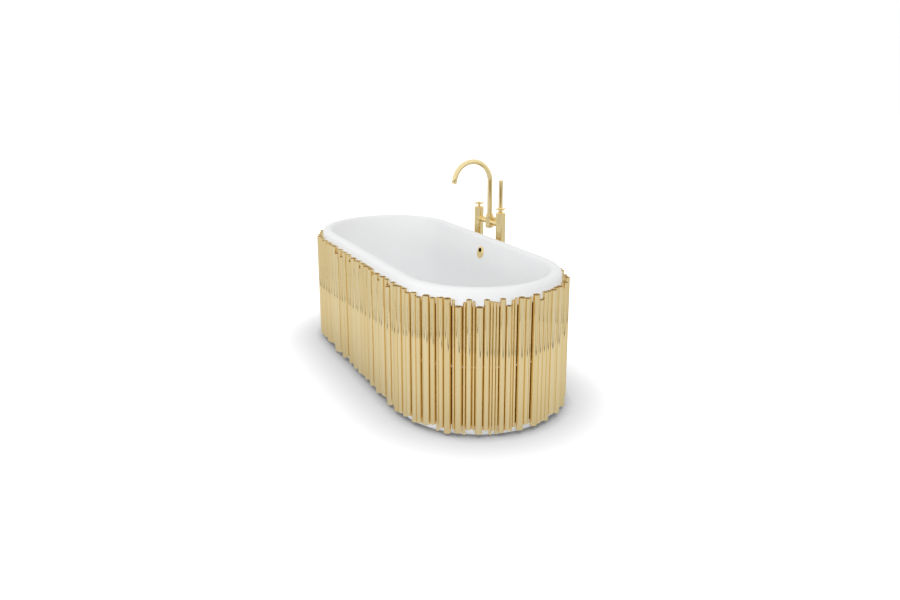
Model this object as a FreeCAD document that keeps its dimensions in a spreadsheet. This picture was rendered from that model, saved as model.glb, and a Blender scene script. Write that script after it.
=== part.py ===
import FreeCAD, Part
import math
import os
import re
import Sketcher

# Oval bath with a cladding of upright brass tubes, and the two-legged filler that stands behind it.
# X runs along the bath, Y across it towards the filler, Z up. The origin is on the floor under the drain.

# Driving sizes in millimetres, piece by piece
SIZES = {
    # the whole bath, over the tubes
    "overall_length": 1800,
    "overall_width": 800,
    "rim_height": 612,
    # tube cladding
    "large_tube": 30,
    "medium_tube": 23.5,
    "small_tube": 12,
    "tube_wall": 1.5,
    "tube_gap": 0.3,
    "tube_top_drop": 35,
    "tube_floor_gap": 6,
    "tube_stagger": 30,
    # sheet bands that carry the tubes
    "solder_film": 0.2,
    "band_thick": 3,
    "band_inset": 5,
    "band_split": 7,
    # skirt
    "skirt_thick": 5,
    "skirt_floor_gap": 3,
    # basin
    "rim_width": 46,
    "rim_round": 22,
    "lip_depth": 46,
    "basin_wall": 8,
    "floor_height": 150,
    "floor_length": 1120,
    "floor_width": 420,
    "floor_round": 90,
    # base board and frame
    "board_length": 900,
    "board_width": 340,
    "board_thick": 16,
    "board_hole": 100,
    "rail_side": 30,
    "rail_wall": 2.5,
    "rail_length": 960,
    "rail_spacing": 260,
    "member_length": 520,
    "member_spacing": 800,
    # levelling feet
    "foot_spacing": 440,
    "foot_pad": 50,
    "foot_pad_edge": 6,
    "foot_pad_height": 12,
    "foot_neck": 22,
    "stem_rod": 12,
    "rod_clearance": 0.05,
    "boss_width": 26,
    "boss_height": 18,
    "nut_flats": 19,
    "nut_height": 8,
    "seat_gap": 0.3,
    # drain
    "drain_bore": 42,
    "drain_tube_wall": 3,
    "drain_tube_depth": 30,
    "drain_clearance": 0.5,
    "flange_width": 70,
    "flange_thick": 3,
    "spider_width": 5,
    "spider_depth": 16,
    "spider_height": 12,
    "spider_boss": 14,
    "washer_thick": 3,
    "washer_width": 72,
    "waste_flange_thick": 5,
    "waste_width": 60,
    "waste_wall": 3,
    "waste_floor": 5,
    "waste_low": 50,
    "thread_gap": 0.3,
    "thread_depth": 27,
    "outlet_collar": 18,
    "tail_spigot": 40,
    "tail_outlet": 50,
    "tail_wall": 3,
    "tail_step": 2,
    # push plug
    "plug_width": 60,
    "plug_thick": 6,
    "plug_bevel": 3,
    "plug_stem": 8,
    "plug_reach": 43,
    "seal_bore": 44,
    "seal_width": 56,
    "seal_thick": 2,
    # overflow
    "overflow_x": 0,
    "rose_width": 62,
    "rose_edge": 2,
    "rose_bevel": 8,
    "rose_height": 6,
    "rose_plate": 3.5,
    "rose_tube": 52,
    "rose_tube_wall": 2.5,
    "rose_tube_depth": 22,
    "rose_opening_length": 28,
    "rose_opening_height": 22,
    "rose_opening_rise": 12,
    "overflow_clearance": 0.5,
    "overflow_washer_width": 66,
    "elbow_flange": 4,
    "elbow_depth": 38,
    "elbow_wall": 4,
    "elbow_outlet": 20,
    "elbow_drop": 50,
    "pipe_width": 28,
    "pipe_wall": 2,
    "pipe_bend": 45,
    "socket_wall": 3,
    "socket_gap": 0.2,
    "socket_depth": 14,
    "branch_height": 80,
    "branch_reach": 62,
    # filler as a whole
    "filler_x": -172,
    "filler_gap": 30,
    "column_spacing": 232,
    # columns and what stands in them
    "column_width": 50,
    "column_wall": 2.5,
    "column_top": 719,
    "base_width": 84,
    "base_thick": 8,
    "base_bevel": 3,
    "base_spigot": 22,
    "slip_gap": 0.2,
    "screw_hole": 6.4,
    "screw_circle": 66,
    "supply_width": 25,
    "supply_bore": 16,
    "inlet_bore": 19,
    "inlet_depth": 15,
    "cap_thick": 8,
    "cap_bevel": 1.5,
    "cap_spigot": 8,
    "headwork_width": 40,
    "headwork_height": 48,
    "headwork_bore": 20,
    # cross handles
    "valve_stem": 12,
    "run_gap": 0.05,
    "handle_height": 739,
    "hub_width": 18,
    "hub_below": 11,
    "hub_above": 7,
    "hub_bevel": 3,
    "arm_width": 7,
    "arm_bevel": 1.2,
    "handle_span": 62,
    # mixer body and bridge
    "mixer_width": 43,
    "mixer_low": 621,
    "mixer_height": 66,
    "mixer_bevel": 2,
    "mixer_bore": 16,
    "bridge_height": 654,
    "bridge_width": 27,
    "bridge_bore": 20,
    "bridge_nut": 34,
    "bridge_nut_length": 11,
    "saddle_gap": 0.1,
    # spout
    "spout_width": 26,
    "spout_bore": 21,
    "spout_socket": 29.7,
    "spout_rise": 876,
    "spout_bend": 108,
    "spout_leg": 25,
    "collar_width": 36,
    "collar_height": 10,
    "collar_bevel": 1.5,
    "aerator_length": 8,
    "aerator_inset": 0.8,
    # diverter, hose outlet and hand shower
    "diverter_height": 664,
    "diverter_stem": 10,
    "diverter_wall": 1,
    "diverter_knob": 20,
    "diverter_length": 15,
    "diverter_bevel": 1.5,
    "hose_height": 636,
    "hose_thread": 20.8,
    "hose_length": 14,
    "hose_bore": 12,
    "hose_flange": 26,
    "hose_flange_thick": 3,
    "arm_height": 676,
    "arm_tube": 13,
    "cradle_x": 64,
    "cradle_y": 30,
    "cradle_width": 34,
    "cradle_low": 658,
    "cradle_height": 36,
    "cradle_bevel": 2,
    "wand_gap": 0.3,
    "wand_width": 22.4,
    "wand_top": 884,
    "wand_bevel": 1.5,
    "wand_collar": 27,
    "wand_collar_height": 8,
    "wand_tail": 12,
    "spray_width": 10,
    "spray_length": 58,
    "spray_drop": 10,
    "spray_depth": 3,
    "spray_gap": 0.1,
    # how far a cut runs past what it cuts
    "overrun": 5,
}

# The gooseneck's turn in degrees, and the screws in each floor flange
SPOUT_TURN = 168
BASE_SCREWS = 3
HANDLE_ARMS = 4

# One run of tubes: its size, then how much of the stagger its top is down and its bottom is up
TUBE_RUN_SHARES = [
    ("medium_tube", 0.30, 1.00),
    ("small_tube", 0.30, 0.85),
    ("large_tube", 0.00, 0.50),
    ("medium_tube", 0.90, 0.50),
    ("medium_tube", 0.00, 0.60),
    ("medium_tube", 0.05, 0.35),
    ("large_tube", 0.05, 1.00),
    ("medium_tube", 0.00, 0.80),
    ("large_tube", 0.05, 0.45),
    ("small_tube", 0.50, 0.10),
    ("medium_tube", 0.60, 0.70),
    ("small_tube", 0.20, 0.00),
    ("large_tube", 0.15, 0.30),
    ("medium_tube", 0.95, 0.55),
    ("small_tube", 0.40, 0.15),
    ("large_tube", 0.05, 0.80),
    ("small_tube", 0.30, 0.00),
    ("medium_tube", 0.10, 0.60),
    ("large_tube", 0.90, 0.25),
    ("small_tube", 0.55, 0.10),
    ("medium_tube", 0.00, 0.85),
    ("small_tube", 0.35, 0.05),
    ("large_tube", 0.10, 0.40),
    ("medium_tube", 0.00, 0.45),
    ("small_tube", 0.05, 0.05),
    ("medium_tube", 0.00, 0.45),
    ("medium_tube", 0.40, 0.85),
    ("small_tube", 0.20, 0.05),
    ("medium_tube", 0.10, 0.35),
    ("medium_tube", 0.55, 0.50),
    ("small_tube", 0.50, 0.35),
    ("large_tube", 0.05, 0.75),
    ("medium_tube", 0.25, 0.95),
    ("small_tube", 0.15, 0.00),
    ("medium_tube", 0.05, 0.75),
    ("large_tube", 0.05, 0.20),
    ("small_tube", 0.25, 0.65),
    ("large_tube", 1.00, 0.45),
    ("small_tube", 0.50, 0.00),
    ("medium_tube", 0.05, 0.95),
    ("small_tube", 0.35, 0.75),
    ("large_tube", 1.00, 0.45),
    ("medium_tube", 0.05, 0.90),
    ("small_tube", 0.35, 0.05),
    ("small_tube", 0.40, 0.60),
    ("small_tube", 0.50, 0.10),
    ("medium_tube", 0.00, 0.40),
    ("medium_tube", 1.00, 0.65),
    ("small_tube", 0.35, 0.30),
    ("small_tube", 0.10, 0.80),
    ("large_tube", 0.05, 0.45),
]

# Lengths that follow from the driving sizes
PLACES = {
    "skirt_half_length": "overall_length / 2 - large_tube - solder_film - band_thick",
    "skirt_half_width": "overall_width / 2 - large_tube - solder_film - band_thick",
    "band_half_length": "skirt_half_length + band_thick",
    "band_half_width": "skirt_half_width + band_thick",
    "tube_top": "rim_height - tube_top_drop",
    "band_low": "tube_floor_gap + tube_stagger + band_inset",
    "band_high": "tube_top - tube_stagger - band_inset",
    "band_height": "(band_high - band_low - band_split) / 2",
    "mouth_half_length": "skirt_half_length - rim_width",
    "mouth_half_width": "skirt_half_width - rim_width",
    "lip_low": "rim_height - lip_depth",
    "end_lean": "(mouth_half_length - floor_length / 2) / (rim_height - floor_height)",
    "side_lean": "(mouth_half_width - floor_width / 2) / (rim_height - floor_height)",
    "underside": "floor_height - basin_wall",
    "board_low": "underside - board_thick",
    "rail_low": "board_low - rail_side",
    "member_low": "rail_low - rail_side",
    "boss_low": "member_low - boss_height",
    "drain_tube": "drain_bore / 2 + drain_tube_wall",
    "waste_top": "underside - washer_thick",
    "flange_top": "floor_height + flange_thick",
    "overflow_height": "lip_low - overflow_washer_width / 2",
    "wall_y": "floor_width / 2 + (overflow_height - floor_height) * side_lean",
    "wall_slant": "sqrt(1 + side_lean ^ 2)",
    "wall_through": "basin_wall / wall_slant",
    "elbow_front": "wall_through + washer_thick",
    "elbow_y": "wall_y + (elbow_front + elbow_outlet) / wall_slant",
    "elbow_z": "overflow_height - (elbow_front + elbow_outlet) * side_lean / wall_slant",
    "socket_bore": "pipe_width / 2 + socket_gap",
    "socket_low": "elbow_z - elbow_drop",
    "filler_y": "overall_width / 2 + filler_gap + column_width / 2",
    "left_x": "filler_x - column_spacing / 2",
    "right_x": "filler_x + column_spacing / 2",
    "column_bore": "column_width / 2 - column_wall",
    "cap_low": "column_top - cap_thick",
    "headwork_top": "cap_low - cap_spigot",
    "headwork_low": "headwork_top - headwork_height",
    "stem_low": "headwork_top - headwork_bore + seat_gap",
    "hub_low": "handle_height - hub_below",
    "mixer_top": "mixer_low + mixer_height",
    "spout_seat": "mixer_top - spout_socket",
    "diverter_seat": "spout_width / 2 + run_gap + diverter_wall",
    "cradle_top": "cradle_low + cradle_height",
    "arm_reach": "sqrt(cradle_x ^ 2 + cradle_y ^ 2)",
    "spray_top": "wand_top - spray_drop",
}

doc = FreeCAD.newDocument("oval_bath")
sheet = doc.addObject("Spreadsheet::Sheet", "Sizes")
for row, (name, number) in enumerate(SIZES.items(), 1):
    sheet.set(f"A{row}", name)
    sheet.set(f"B{row}", str(number))
    sheet.setAlias(f"B{row}", name)
doc.recompute()

nodes = []


def formula(text):
    """A length written in the names above, as an expression on the sheet."""
    def word(found):
        name = found.group()
        if name in SIZES:
            return "Sizes." + name
        if name in PLACES:
            return "(" + formula(PLACES[name]) + ")"
        return name
    return re.sub(r"[a-z][a-z_]+", word, text)


def value(text):
    """The same length as a number."""
    result = sheet.evalExpression(formula(text))
    return float(getattr(result, "Value", result))


def bind(thing, path, text):
    thing.setExpression(path, formula(text))


def keep(thing, label):
    """Make a document object one of the named pieces."""
    thing.Label = label
    nodes.append(thing)
    return thing


def place(thing, x="0", y="0", z="0", axis=None, angle=None):
    """Put an object at a point, turned about an axis by an angle in words."""
    if axis:
        turn = FreeCAD.Rotation(FreeCAD.Vector(*axis), value(angle))
        thing.Placement = FreeCAD.Placement(FreeCAD.Vector(), turn)
        bind(thing, "Placement.Rotation.Angle", angle)
    for letter, text in zip("xyz", (x, y, z)):
        if text != "0":
            bind(thing, f"Placement.Base.{letter}", text)
    return thing


def sketch_on(body, role, name, height="0", shift="0"):
    """A sketch on one of the body's own origin planes, lifted off it and moved up along it."""
    plane = next(feature for feature in body.Origin.OriginFeatures if feature.Role == role)
    sketch = body.newObject("Sketcher::SketchObject", name)
    sketch.AttachmentSupport = [(plane, "")]
    sketch.MapMode = "FlatFace"
    if height != "0":
        bind(sketch, "AttachmentOffset.Base.z", height)
    if shift != "0":
        bind(sketch, "AttachmentOffset.Base.y", shift)
    return sketch


def hold(sketch, kind, text, *points):
    """Add one dimension to a sketch and tie it to the sheet."""
    index = sketch.addConstraint(Sketcher.Constraint(kind, *points, value(text)))
    bind(sketch, f"Constraints[{index}]", text)


def pin(sketch, edge, end, x, y):
    """Tie a sketch point to its two coordinates."""
    for kind, on_axis, text in (("DistanceX", -2, x), ("DistanceY", -1, y)):
        if text == "0":
            sketch.addConstraint(Sketcher.Constraint("PointOnObject", edge, end, on_axis))
        else:
            hold(sketch, kind, text, -1, 1, edge, end)


def outline(sketch, corners):
    """A closed outline of straight lines through corners given in words."""
    points = [FreeCAD.Vector(value(x), value(y), 0) for x, y in corners]
    first = sketch.GeometryCount
    for index, start in enumerate(points):
        sketch.addGeometry(Part.LineSegment(start, points[(index + 1) % len(points)]))
    for index, (x, y) in enumerate(corners):
        following = first + (index + 1) % len(corners)
        sketch.addConstraint(Sketcher.Constraint("Coincident", first + index, 2, following, 1))
        pin(sketch, first + index, 1, x, y)


def circle(sketch, x, y, radius):
    middle = FreeCAD.Vector(value(x), value(y), 0)
    edge = sketch.addGeometry(Part.Circle(middle, FreeCAD.Vector(0, 0, 1), value(radius)))
    hold(sketch, "Radius", radius, edge)
    pin(sketch, edge, 3, x, y)


def stadium(sketch, half_length, half_width):
    """Two straight sides joined by half circles: the plan of the whole bath."""
    radius = value(half_width)
    run = value(f"{half_length} - ({half_width})")
    quarter = math.pi / 2
    up = FreeCAD.Vector(0, 0, 1)
    near = Part.ArcOfCircle(Part.Circle(FreeCAD.Vector(run, 0, 0), up, radius), -quarter, quarter)
    far = Part.ArcOfCircle(Part.Circle(FreeCAD.Vector(-run, 0, 0), up, radius), quarter, 3 * quarter)
    back = Part.LineSegment(FreeCAD.Vector(run, radius, 0), FreeCAD.Vector(-run, radius, 0))
    front = Part.LineSegment(FreeCAD.Vector(-run, -radius, 0), FreeCAD.Vector(run, -radius, 0))
    edges = [sketch.addGeometry(edge) for edge in (near, back, far, front)]
    for index, edge in enumerate(edges):
        sketch.addConstraint(Sketcher.Constraint("Tangent", edge, 2, edges[(index + 1) % 4], 1))
    pin(sketch, edges[0], 3, f"{half_length} - ({half_width})", "0")
    pin(sketch, edges[2], 3, f"({half_width}) - ({half_length})", "0")
    hold(sketch, "Radius", half_width, edges[0])
    hold(sketch, "Radius", half_width, edges[2])


def new_body(name):
    return doc.addObject("PartDesign::Body", name)


def turned(name, corners):
    """A body of revolution about its own Z axis, from an outline of radius and height."""
    body = new_body(name)
    sketch = sketch_on(body, "XZ_Plane", name + "_profile")
    outline(sketch, corners)
    turn = body.newObject("PartDesign::Revolution", name + "_turning")
    turn.Profile = sketch
    turn.ReferenceAxis = (sketch, ["V_Axis"])
    return body


def ring(outer, inner, low, high):
    """The outline of a plain round tube or washer."""
    return [(inner, low), (outer, low), (outer, high), (inner, high)]


def pad(body, sketch, name, length, both_ways=False):
    feature = body.newObject("PartDesign::Pad", name)
    feature.Profile = sketch
    bind(feature, "Length", length)
    feature.Midplane = both_ways
    return feature


def pocket(body, sketch, name, length, upwards=False):
    feature = body.newObject("PartDesign::Pocket", name)
    feature.Profile = sketch
    bind(feature, "Length", length)
    feature.Reversed = upwards
    return feature


def rod(name, radius, length):
    """A plain round cutter or core, standing on its own origin."""
    cylinder = doc.addObject("Part::Cylinder", name)
    bind(cylinder, "Radius", radius)
    bind(cylinder, "Height", length)
    return cylinder


def joined(kind, name, base, tool):
    result = doc.addObject("Part::" + kind, name)
    result.Base = base
    result.Tool = tool
    return result


def group(label, master, spots):
    """Equal pieces that share a node, each a solid of its own."""
    doc.recompute()
    copies = [master.Shape.translated(FreeCAD.Vector(value(x), value(y), 0)) for x, y in spots]
    feature = doc.addObject("Part::Feature", label)
    feature.Shape = Part.makeCompound(copies)
    return keep(feature, label)


def rounded(body, name, radius, chosen):
    """Round the edges of the body's last feature that a test picks out."""
    doc.recompute()
    base = body.Tip
    names = [f"Edge{i}" for i, edge in enumerate(base.Shape.Edges, 1) if chosen(edge)]
    feature = body.newObject("PartDesign::Fillet", name)
    feature.Base = (base, names)
    bind(feature, "Radius", radius)


def level(edge, text):
    """Does an edge lie flat at this height?"""
    box = edge.BoundBox
    close = value("seat_gap")
    return abs(box.ZMin - value(text)) < close and abs(box.ZMax - value(text)) < close


# Basin: the shell hangs from a broad lip, and its walls lean more at the ends than along the sides.
shell = new_body("basin_shell")
outer_floor = sketch_on(shell, "XY_Plane", "outer_floor", "underside")
stadium(
    outer_floor,
    "floor_length / 2 + basin_wall * (1 - end_lean)",
    "floor_width / 2 + basin_wall * (1 - side_lean)",
)
outer_shoulder = sketch_on(shell, "XY_Plane", "outer_shoulder", "lip_low")
stadium(
    outer_shoulder,
    "mouth_half_length - lip_depth * end_lean + basin_wall",
    "mouth_half_width - lip_depth * side_lean + basin_wall",
)
outside = shell.newObject("PartDesign::AdditiveLoft", "outside")
outside.Profile = outer_floor
outside.Sections = [outer_shoulder]
outside.Ruled = True
lip = sketch_on(shell, "XY_Plane", "lip", "lip_low")
stadium(lip, "skirt_half_length", "skirt_half_width")
pad(shell, lip, "lip_pad", "lip_depth")
mouth = sketch_on(shell, "XY_Plane", "mouth", "rim_height")
stadium(mouth, "mouth_half_length", "mouth_half_width")
inner_floor = sketch_on(shell, "XY_Plane", "inner_floor", "floor_height")
stadium(inner_floor, "floor_length / 2", "floor_width / 2")
hollow = shell.newObject("PartDesign::SubtractiveLoft", "hollow")
hollow.Profile = inner_floor
hollow.Sections = [mouth]
hollow.Ruled = True
rounded(shell, "rim_roll", "rim_round", lambda edge: level(edge, "rim_height"))
rounded(shell, "floor_sweep", "floor_round", lambda edge: level(edge, "floor_height"))
drain_cut = place(
    rod("drain_cut", "drain_tube + drain_clearance", "basin_wall + 2 * overrun"),
    z="underside - overrun",
)
with_drain = joined("Cut", "basin_with_drain", shell, drain_cut)


def on_far_wall(thing):
    """Stand a piece on the far inner wall, its own Z pointing into the bath and its Y up the wall."""
    return place(thing, "overflow_x", "wall_y", "overflow_height", (1, 0, 0), "90 deg - atan(side_lean)")


overflow_core = turned(
    "overflow_core",
    ring("rose_tube / 2 + overflow_clearance", "0", "-wall_through - overrun", "overrun"),
)
keep(joined("Cut", "basin_cut", with_drain, on_far_wall(overflow_core)), "basin")


def oval_band(label, half_length, half_width, wall, low, height):
    """An upright strip that follows the oval plan."""
    body = new_body(label)
    sketch = sketch_on(body, "XY_Plane", label + "_plan", low)
    stadium(sketch, half_length, half_width)
    stadium(sketch, f"{half_length} - ({wall})", f"{half_width} - ({wall})")
    pad(body, sketch, label + "_pad", height)
    return keep(body, label)


# Skirt under the lip, and the two sheet bands bonded round it
oval_band(
    "skirt", "skirt_half_length", "skirt_half_width", "skirt_thick",
    "skirt_floor_gap", "lip_low - skirt_floor_gap",
)
oval_band(
    "upper_band", "band_half_length", "band_half_width", "band_thick",
    "band_high - band_height", "band_height",
)
oval_band(
    "lower_band", "band_half_length", "band_half_width", "band_thick",
    "band_low", "band_height",
)


def on_oval(along, half_length, half_width):
    """The point this far round the oval from the middle of its near end, and the way out from there."""
    straight = 2 * (half_length - half_width)
    bend = math.pi * half_width
    along = (along + bend / 2) % (2 * (straight + bend))
    half_turn, along = divmod(along, straight + bend)
    if along < bend:
        angle = along / half_width - math.pi / 2
        out = FreeCAD.Vector(math.cos(angle), math.sin(angle), 0)
        spot = FreeCAD.Vector(straight / 2, 0, 0) + out * half_width
    else:
        out = FreeCAD.Vector(0, 1, 0)
        spot = FreeCAD.Vector(straight / 2 - (along - bend), half_width, 0)
    if half_turn:
        return -spot, -out
    return spot, out


# Tube cladding: whole runs of tubes side by side round the bands, the rest shared out among the gaps.
half_length = value("band_half_length + solder_film")
half_width = value("band_half_width + solder_film")
round_the_oval = 4 * (half_length - half_width) + 2 * math.pi * half_width
run_of_tubes = sum(value(size) for size, top, bottom in TUBE_RUN_SHARES)
runs = int(round_the_oval // (run_of_tubes + len(TUBE_RUN_SHARES) * value("tube_gap")))
gap = (round_the_oval / runs - run_of_tubes) / len(TUBE_RUN_SHARES)
cladding = {"large_tube": [], "medium_tube": [], "small_tube": []}
along = 0
for size, top_share, bottom_share in TUBE_RUN_SHARES * runs:
    radius = value(size) / 2
    along += radius + gap / 2
    spot, out = on_oval(along, half_length, half_width)
    along += radius + gap / 2
    low = value("tube_floor_gap") + bottom_share * value("tube_stagger")
    high = value("tube_top") - top_share * value("tube_stagger")
    foot = spot + out * radius + FreeCAD.Vector(0, 0, low)
    walls = [Part.Wire(Part.makeCircle(r, foot)) for r in (radius, radius - value("tube_wall"))]
    section = Part.Face(walls[0]).cut(Part.Face(walls[1])).Faces[0]
    cladding[size].append(section.extrude(FreeCAD.Vector(0, 0, high - low)))
for size, tubes in cladding.items():
    feature = doc.addObject("Part::Feature", size + "s")
    feature.Shape = Part.makeCompound(tubes)
    keep(feature, size + "s")

# Base board bonded under the floor, with a hole round the waste
board = new_body("base_board")
board_plan = sketch_on(board, "XY_Plane", "board_plan", "board_low")
outline(board_plan, [
    ("-board_length / 2", "-board_width / 2"),
    ("board_length / 2", "-board_width / 2"),
    ("board_length / 2", "board_width / 2"),
    ("-board_length / 2", "board_width / 2"),
])
circle(board_plan, "0", "0", "board_hole / 2")
pad(board, board_plan, "board_pad", "board_thick")
keep(board, "base_board")


def box_tube(name, role, low, length):
    """A square steel tube lying along X or Y, centred on the origin."""
    body = new_body(name)
    sketch = sketch_on(body, role, name + "_section")
    for inset in ("0", "rail_wall"):
        half, top = f"rail_side / 2 - {inset}", f"rail_side - {inset}"
        outline(sketch, [(f"-({half})", inset), (half, inset), (half, top), (f"-({half})", top)])
    pad(body, sketch, name + "_pad", length, both_ways=True)
    return place(body, z=low)


# Steel frame: two rails along the board, and two members across under them with a foot near each end
rail = box_tube("frame_rail", "YZ_Plane", "rail_low", "rail_length")
group("frame_rails", rail, [("0", "rail_spacing / 2"), ("0", "-rail_spacing / 2")])
member = box_tube("cross_member", "XZ_Plane", "member_low", "member_length")
group("cross_members", member, [("member_spacing / 2", "0"), ("-member_spacing / 2", "0")])
FOOT_SPOTS = [
    (f"{x_side} member_spacing / 2", f"{y_side} foot_spacing / 2")
    for x_side in ("", "-")
    for y_side in ("", "-")
]
boss = turned("foot_boss", ring("boss_width / 2", "stem_rod / 2 + rod_clearance", "boss_low", "member_low"))
group("foot_bosses", boss, FOOT_SPOTS)
foot = turned("levelling_foot", [
    ("0", "0"),
    ("foot_pad / 2", "0"),
    ("foot_pad / 2", "foot_pad_edge"),
    ("foot_neck / 2", "foot_pad_height"),
    ("stem_rod / 2", "foot_pad_height"),
    ("stem_rod / 2", "member_low - seat_gap"),
    ("0", "member_low - seat_gap"),
])
group("levelling_feet", foot, FOOT_SPOTS)
nut = new_body("lock_nut")
nut_plan = sketch_on(nut, "XY_Plane", "nut_plan", "boss_low - nut_height")
HEX_SHARES = [(1, 0), (0.5, 1), (-0.5, 1), (-1, 0), (-0.5, -1), (0.5, -1)]
outline(nut_plan, [
    (f"{x_share} * nut_flats / sqrt(3)", f"{y_share} * nut_flats / 2" if y_share else "0")
    for x_share, y_share in HEX_SHARES
])
circle(nut_plan, "0", "0", "stem_rod / 2 + rod_clearance")
pad(nut, nut_plan, "nut_pad", "nut_height")
group("lock_nuts", nut, FOOT_SPOTS)

# Drain flange: a plate in the floor, a threaded tube through it and a spider that guides the plug's stem
flange = turned("drain_flange", [
    ("drain_bore / 2", "floor_height - drain_tube_depth"),
    ("drain_tube", "floor_height - drain_tube_depth"),
    ("drain_tube", "floor_height"),
    ("flange_width / 2", "floor_height"),
    ("flange_width / 2 - flange_thick / 2", "flange_top"),
    ("drain_bore / 2", "flange_top"),
])
spider = sketch_on(flange, "XY_Plane", "spider", "floor_height - spider_depth - spider_height")
arm, half = "drain_bore / 2 + drain_tube_wall / 2", "spider_width / 2"
outline(spider, [
    (arm, f"-{half}"), (arm, half), (half, half), (half, arm), (f"-{half}", arm), (f"-{half}", half),
    (f"-({arm})", half), (f"-({arm})", f"-{half}"), (f"-{half}", f"-{half}"), (f"-{half}", f"-({arm})"),
    (half, f"-({arm})"), (half, f"-{half}"),
])
pad(flange, spider, "spider_pad", "spider_height")
guide = sketch_on(flange, "XY_Plane", "guide", "floor_height - spider_depth - spider_height")
circle(guide, "0", "0", "spider_boss / 2")
pad(flange, guide, "guide_pad", "spider_height")
guide_bore = sketch_on(flange, "XY_Plane", "guide_bore", "floor_height - spider_depth - spider_height")
circle(guide_bore, "0", "0", "plug_stem / 2 + run_gap")
pocket(flange, guide_bore, "guide_pocket", "spider_height", upwards=True)
keep(flange, "drain_flange")
keep(turned("drain_washer", ring(
    "washer_width / 2", "drain_tube + drain_clearance", "waste_top", "underside",
)), "drain_washer")

# Push plug and its seal
keep(turned("drain_plug", [
    ("0", "flange_top - plug_reach + seat_gap"),
    ("plug_stem / 2", "flange_top - plug_reach + seat_gap"),
    ("plug_stem / 2", "flange_top + seat_gap + seal_thick"),
    ("plug_width / 2", "flange_top + seat_gap + seal_thick"),
    ("plug_width / 2", "flange_top + seat_gap + seal_thick + plug_thick - plug_bevel"),
    ("plug_width / 2 - 2 * plug_bevel", "flange_top + seat_gap + seal_thick + plug_thick"),
    ("0", "flange_top + seat_gap + seal_thick + plug_thick"),
]), "drain_plug")
keep(turned("plug_seal", ring(
    "seal_width / 2", "seal_bore / 2", "flange_top + seat_gap", "flange_top + seat_gap + seal_thick",
)), "plug_seal")

# Waste body: a cup under the floor with a collar for the tail pipe and a branch for the overflow
cup = turned("waste_cup", [
    ("drain_tube + thread_gap", "waste_top"),
    ("washer_width / 2", "waste_top"),
    ("washer_width / 2", "waste_top - waste_flange_thick"),
    ("waste_width / 2", "waste_top - waste_flange_thick"),
    ("waste_width / 2", "waste_low"),
    ("tail_spigot / 2 + slip_gap + waste_wall", "waste_low"),
    ("tail_spigot / 2 + slip_gap + waste_wall", "waste_low - outlet_collar"),
    ("tail_spigot / 2 + slip_gap", "waste_low - outlet_collar"),
    ("tail_spigot / 2 + slip_gap", "waste_low"),
    ("tail_spigot / 2 - tail_wall", "waste_low"),
    ("tail_spigot / 2 - tail_wall", "waste_low + waste_floor"),
    ("waste_width / 2 - waste_wall", "waste_low + waste_floor"),
    ("waste_width / 2 - waste_wall", "waste_top - thread_depth"),
    ("drain_tube + thread_gap", "waste_top - thread_depth"),
])
branch = place(
    rod("waste_branch", "socket_bore + socket_wall", "branch_reach - waste_width / 2 + waste_wall"),
    y="waste_width / 2 - waste_wall", z="branch_height", axis=(1, 0, 0), angle="-90 deg",
)
branch_bore = place(
    rod("branch_bore", "socket_bore", "branch_reach + overrun"),
    z="branch_height", axis=(1, 0, 0), angle="-90 deg",
)
waste = joined("Cut", "waste_cut", joined("Fuse", "waste_solid", cup, branch), branch_bore)
keep(waste, "waste_body")
keep(turned("tail_pipe", [
    ("tail_spigot / 2 - tail_wall", "0"),
    ("tail_outlet / 2", "0"),
    ("tail_outlet / 2", "waste_low - outlet_collar - tail_step"),
    ("tail_spigot / 2", "waste_low - outlet_collar - tail_step"),
    ("tail_spigot / 2", "waste_low - seat_gap"),
    ("tail_spigot / 2 - tail_wall", "waste_low - seat_gap"),
]), "tail_pipe")

# Overflow rose: a bevelled disc on a threaded tube, with an oval opening in its upper half
rose = turned("overflow_rose", [
    ("rose_tube / 2 - rose_tube_wall", "-rose_tube_depth"),
    ("rose_tube / 2", "-rose_tube_depth"),
    ("rose_tube / 2", "0"),
    ("rose_width / 2", "0"),
    ("rose_width / 2", "rose_edge"),
    ("rose_width / 2 - rose_bevel", "rose_height"),
    ("0", "rose_height"),
    ("0", "rose_height - rose_plate"),
    ("rose_tube / 2 - rose_tube_wall", "rose_height - rose_plate"),
])
opening = sketch_on(rose, "XY_Plane", "rose_opening", "0", "rose_opening_rise")
stadium(opening, "rose_opening_length / 2", "rose_opening_height / 2")
pocket(rose, opening, "rose_opening_cut", "rose_height + overrun", upwards=True)
keep(on_far_wall(rose), "overflow_rose")
keep(on_far_wall(turned("overflow_washer", ring(
    "overflow_washer_width / 2", "rose_tube / 2 + overflow_clearance", "-elbow_front", "-wall_through",
))), "overflow_washer")

# Overflow elbow behind the wall: a cup screwed on the rose's tube, with a socket that points down
elbow_cup = on_far_wall(turned("elbow_cup", [
    ("0", "-elbow_front - elbow_depth"),
    ("rose_tube / 2 + elbow_wall", "-elbow_front - elbow_depth"),
    ("rose_tube / 2 + elbow_wall", "-elbow_front - elbow_flange"),
    ("overflow_washer_width / 2", "-elbow_front - elbow_flange"),
    ("overflow_washer_width / 2", "-elbow_front"),
    ("0", "-elbow_front"),
]))
elbow_bore = on_far_wall(turned("elbow_bore", ring(
    "rose_tube / 2 + thread_gap", "0", "elbow_wall - elbow_front - elbow_depth", "overrun - elbow_front",
)))
elbow_socket = place(
    rod("elbow_socket", "socket_bore + socket_wall", "elbow_drop"), "overflow_x", "elbow_y", "socket_low",
)
elbow_socket_bore = place(
    rod("elbow_socket_bore", "socket_bore", "elbow_drop + overrun"),
    "overflow_x", "elbow_y", "socket_low - overrun",
)
elbow_solid = joined("Fuse", "elbow_solid", elbow_cup, elbow_socket)
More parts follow.
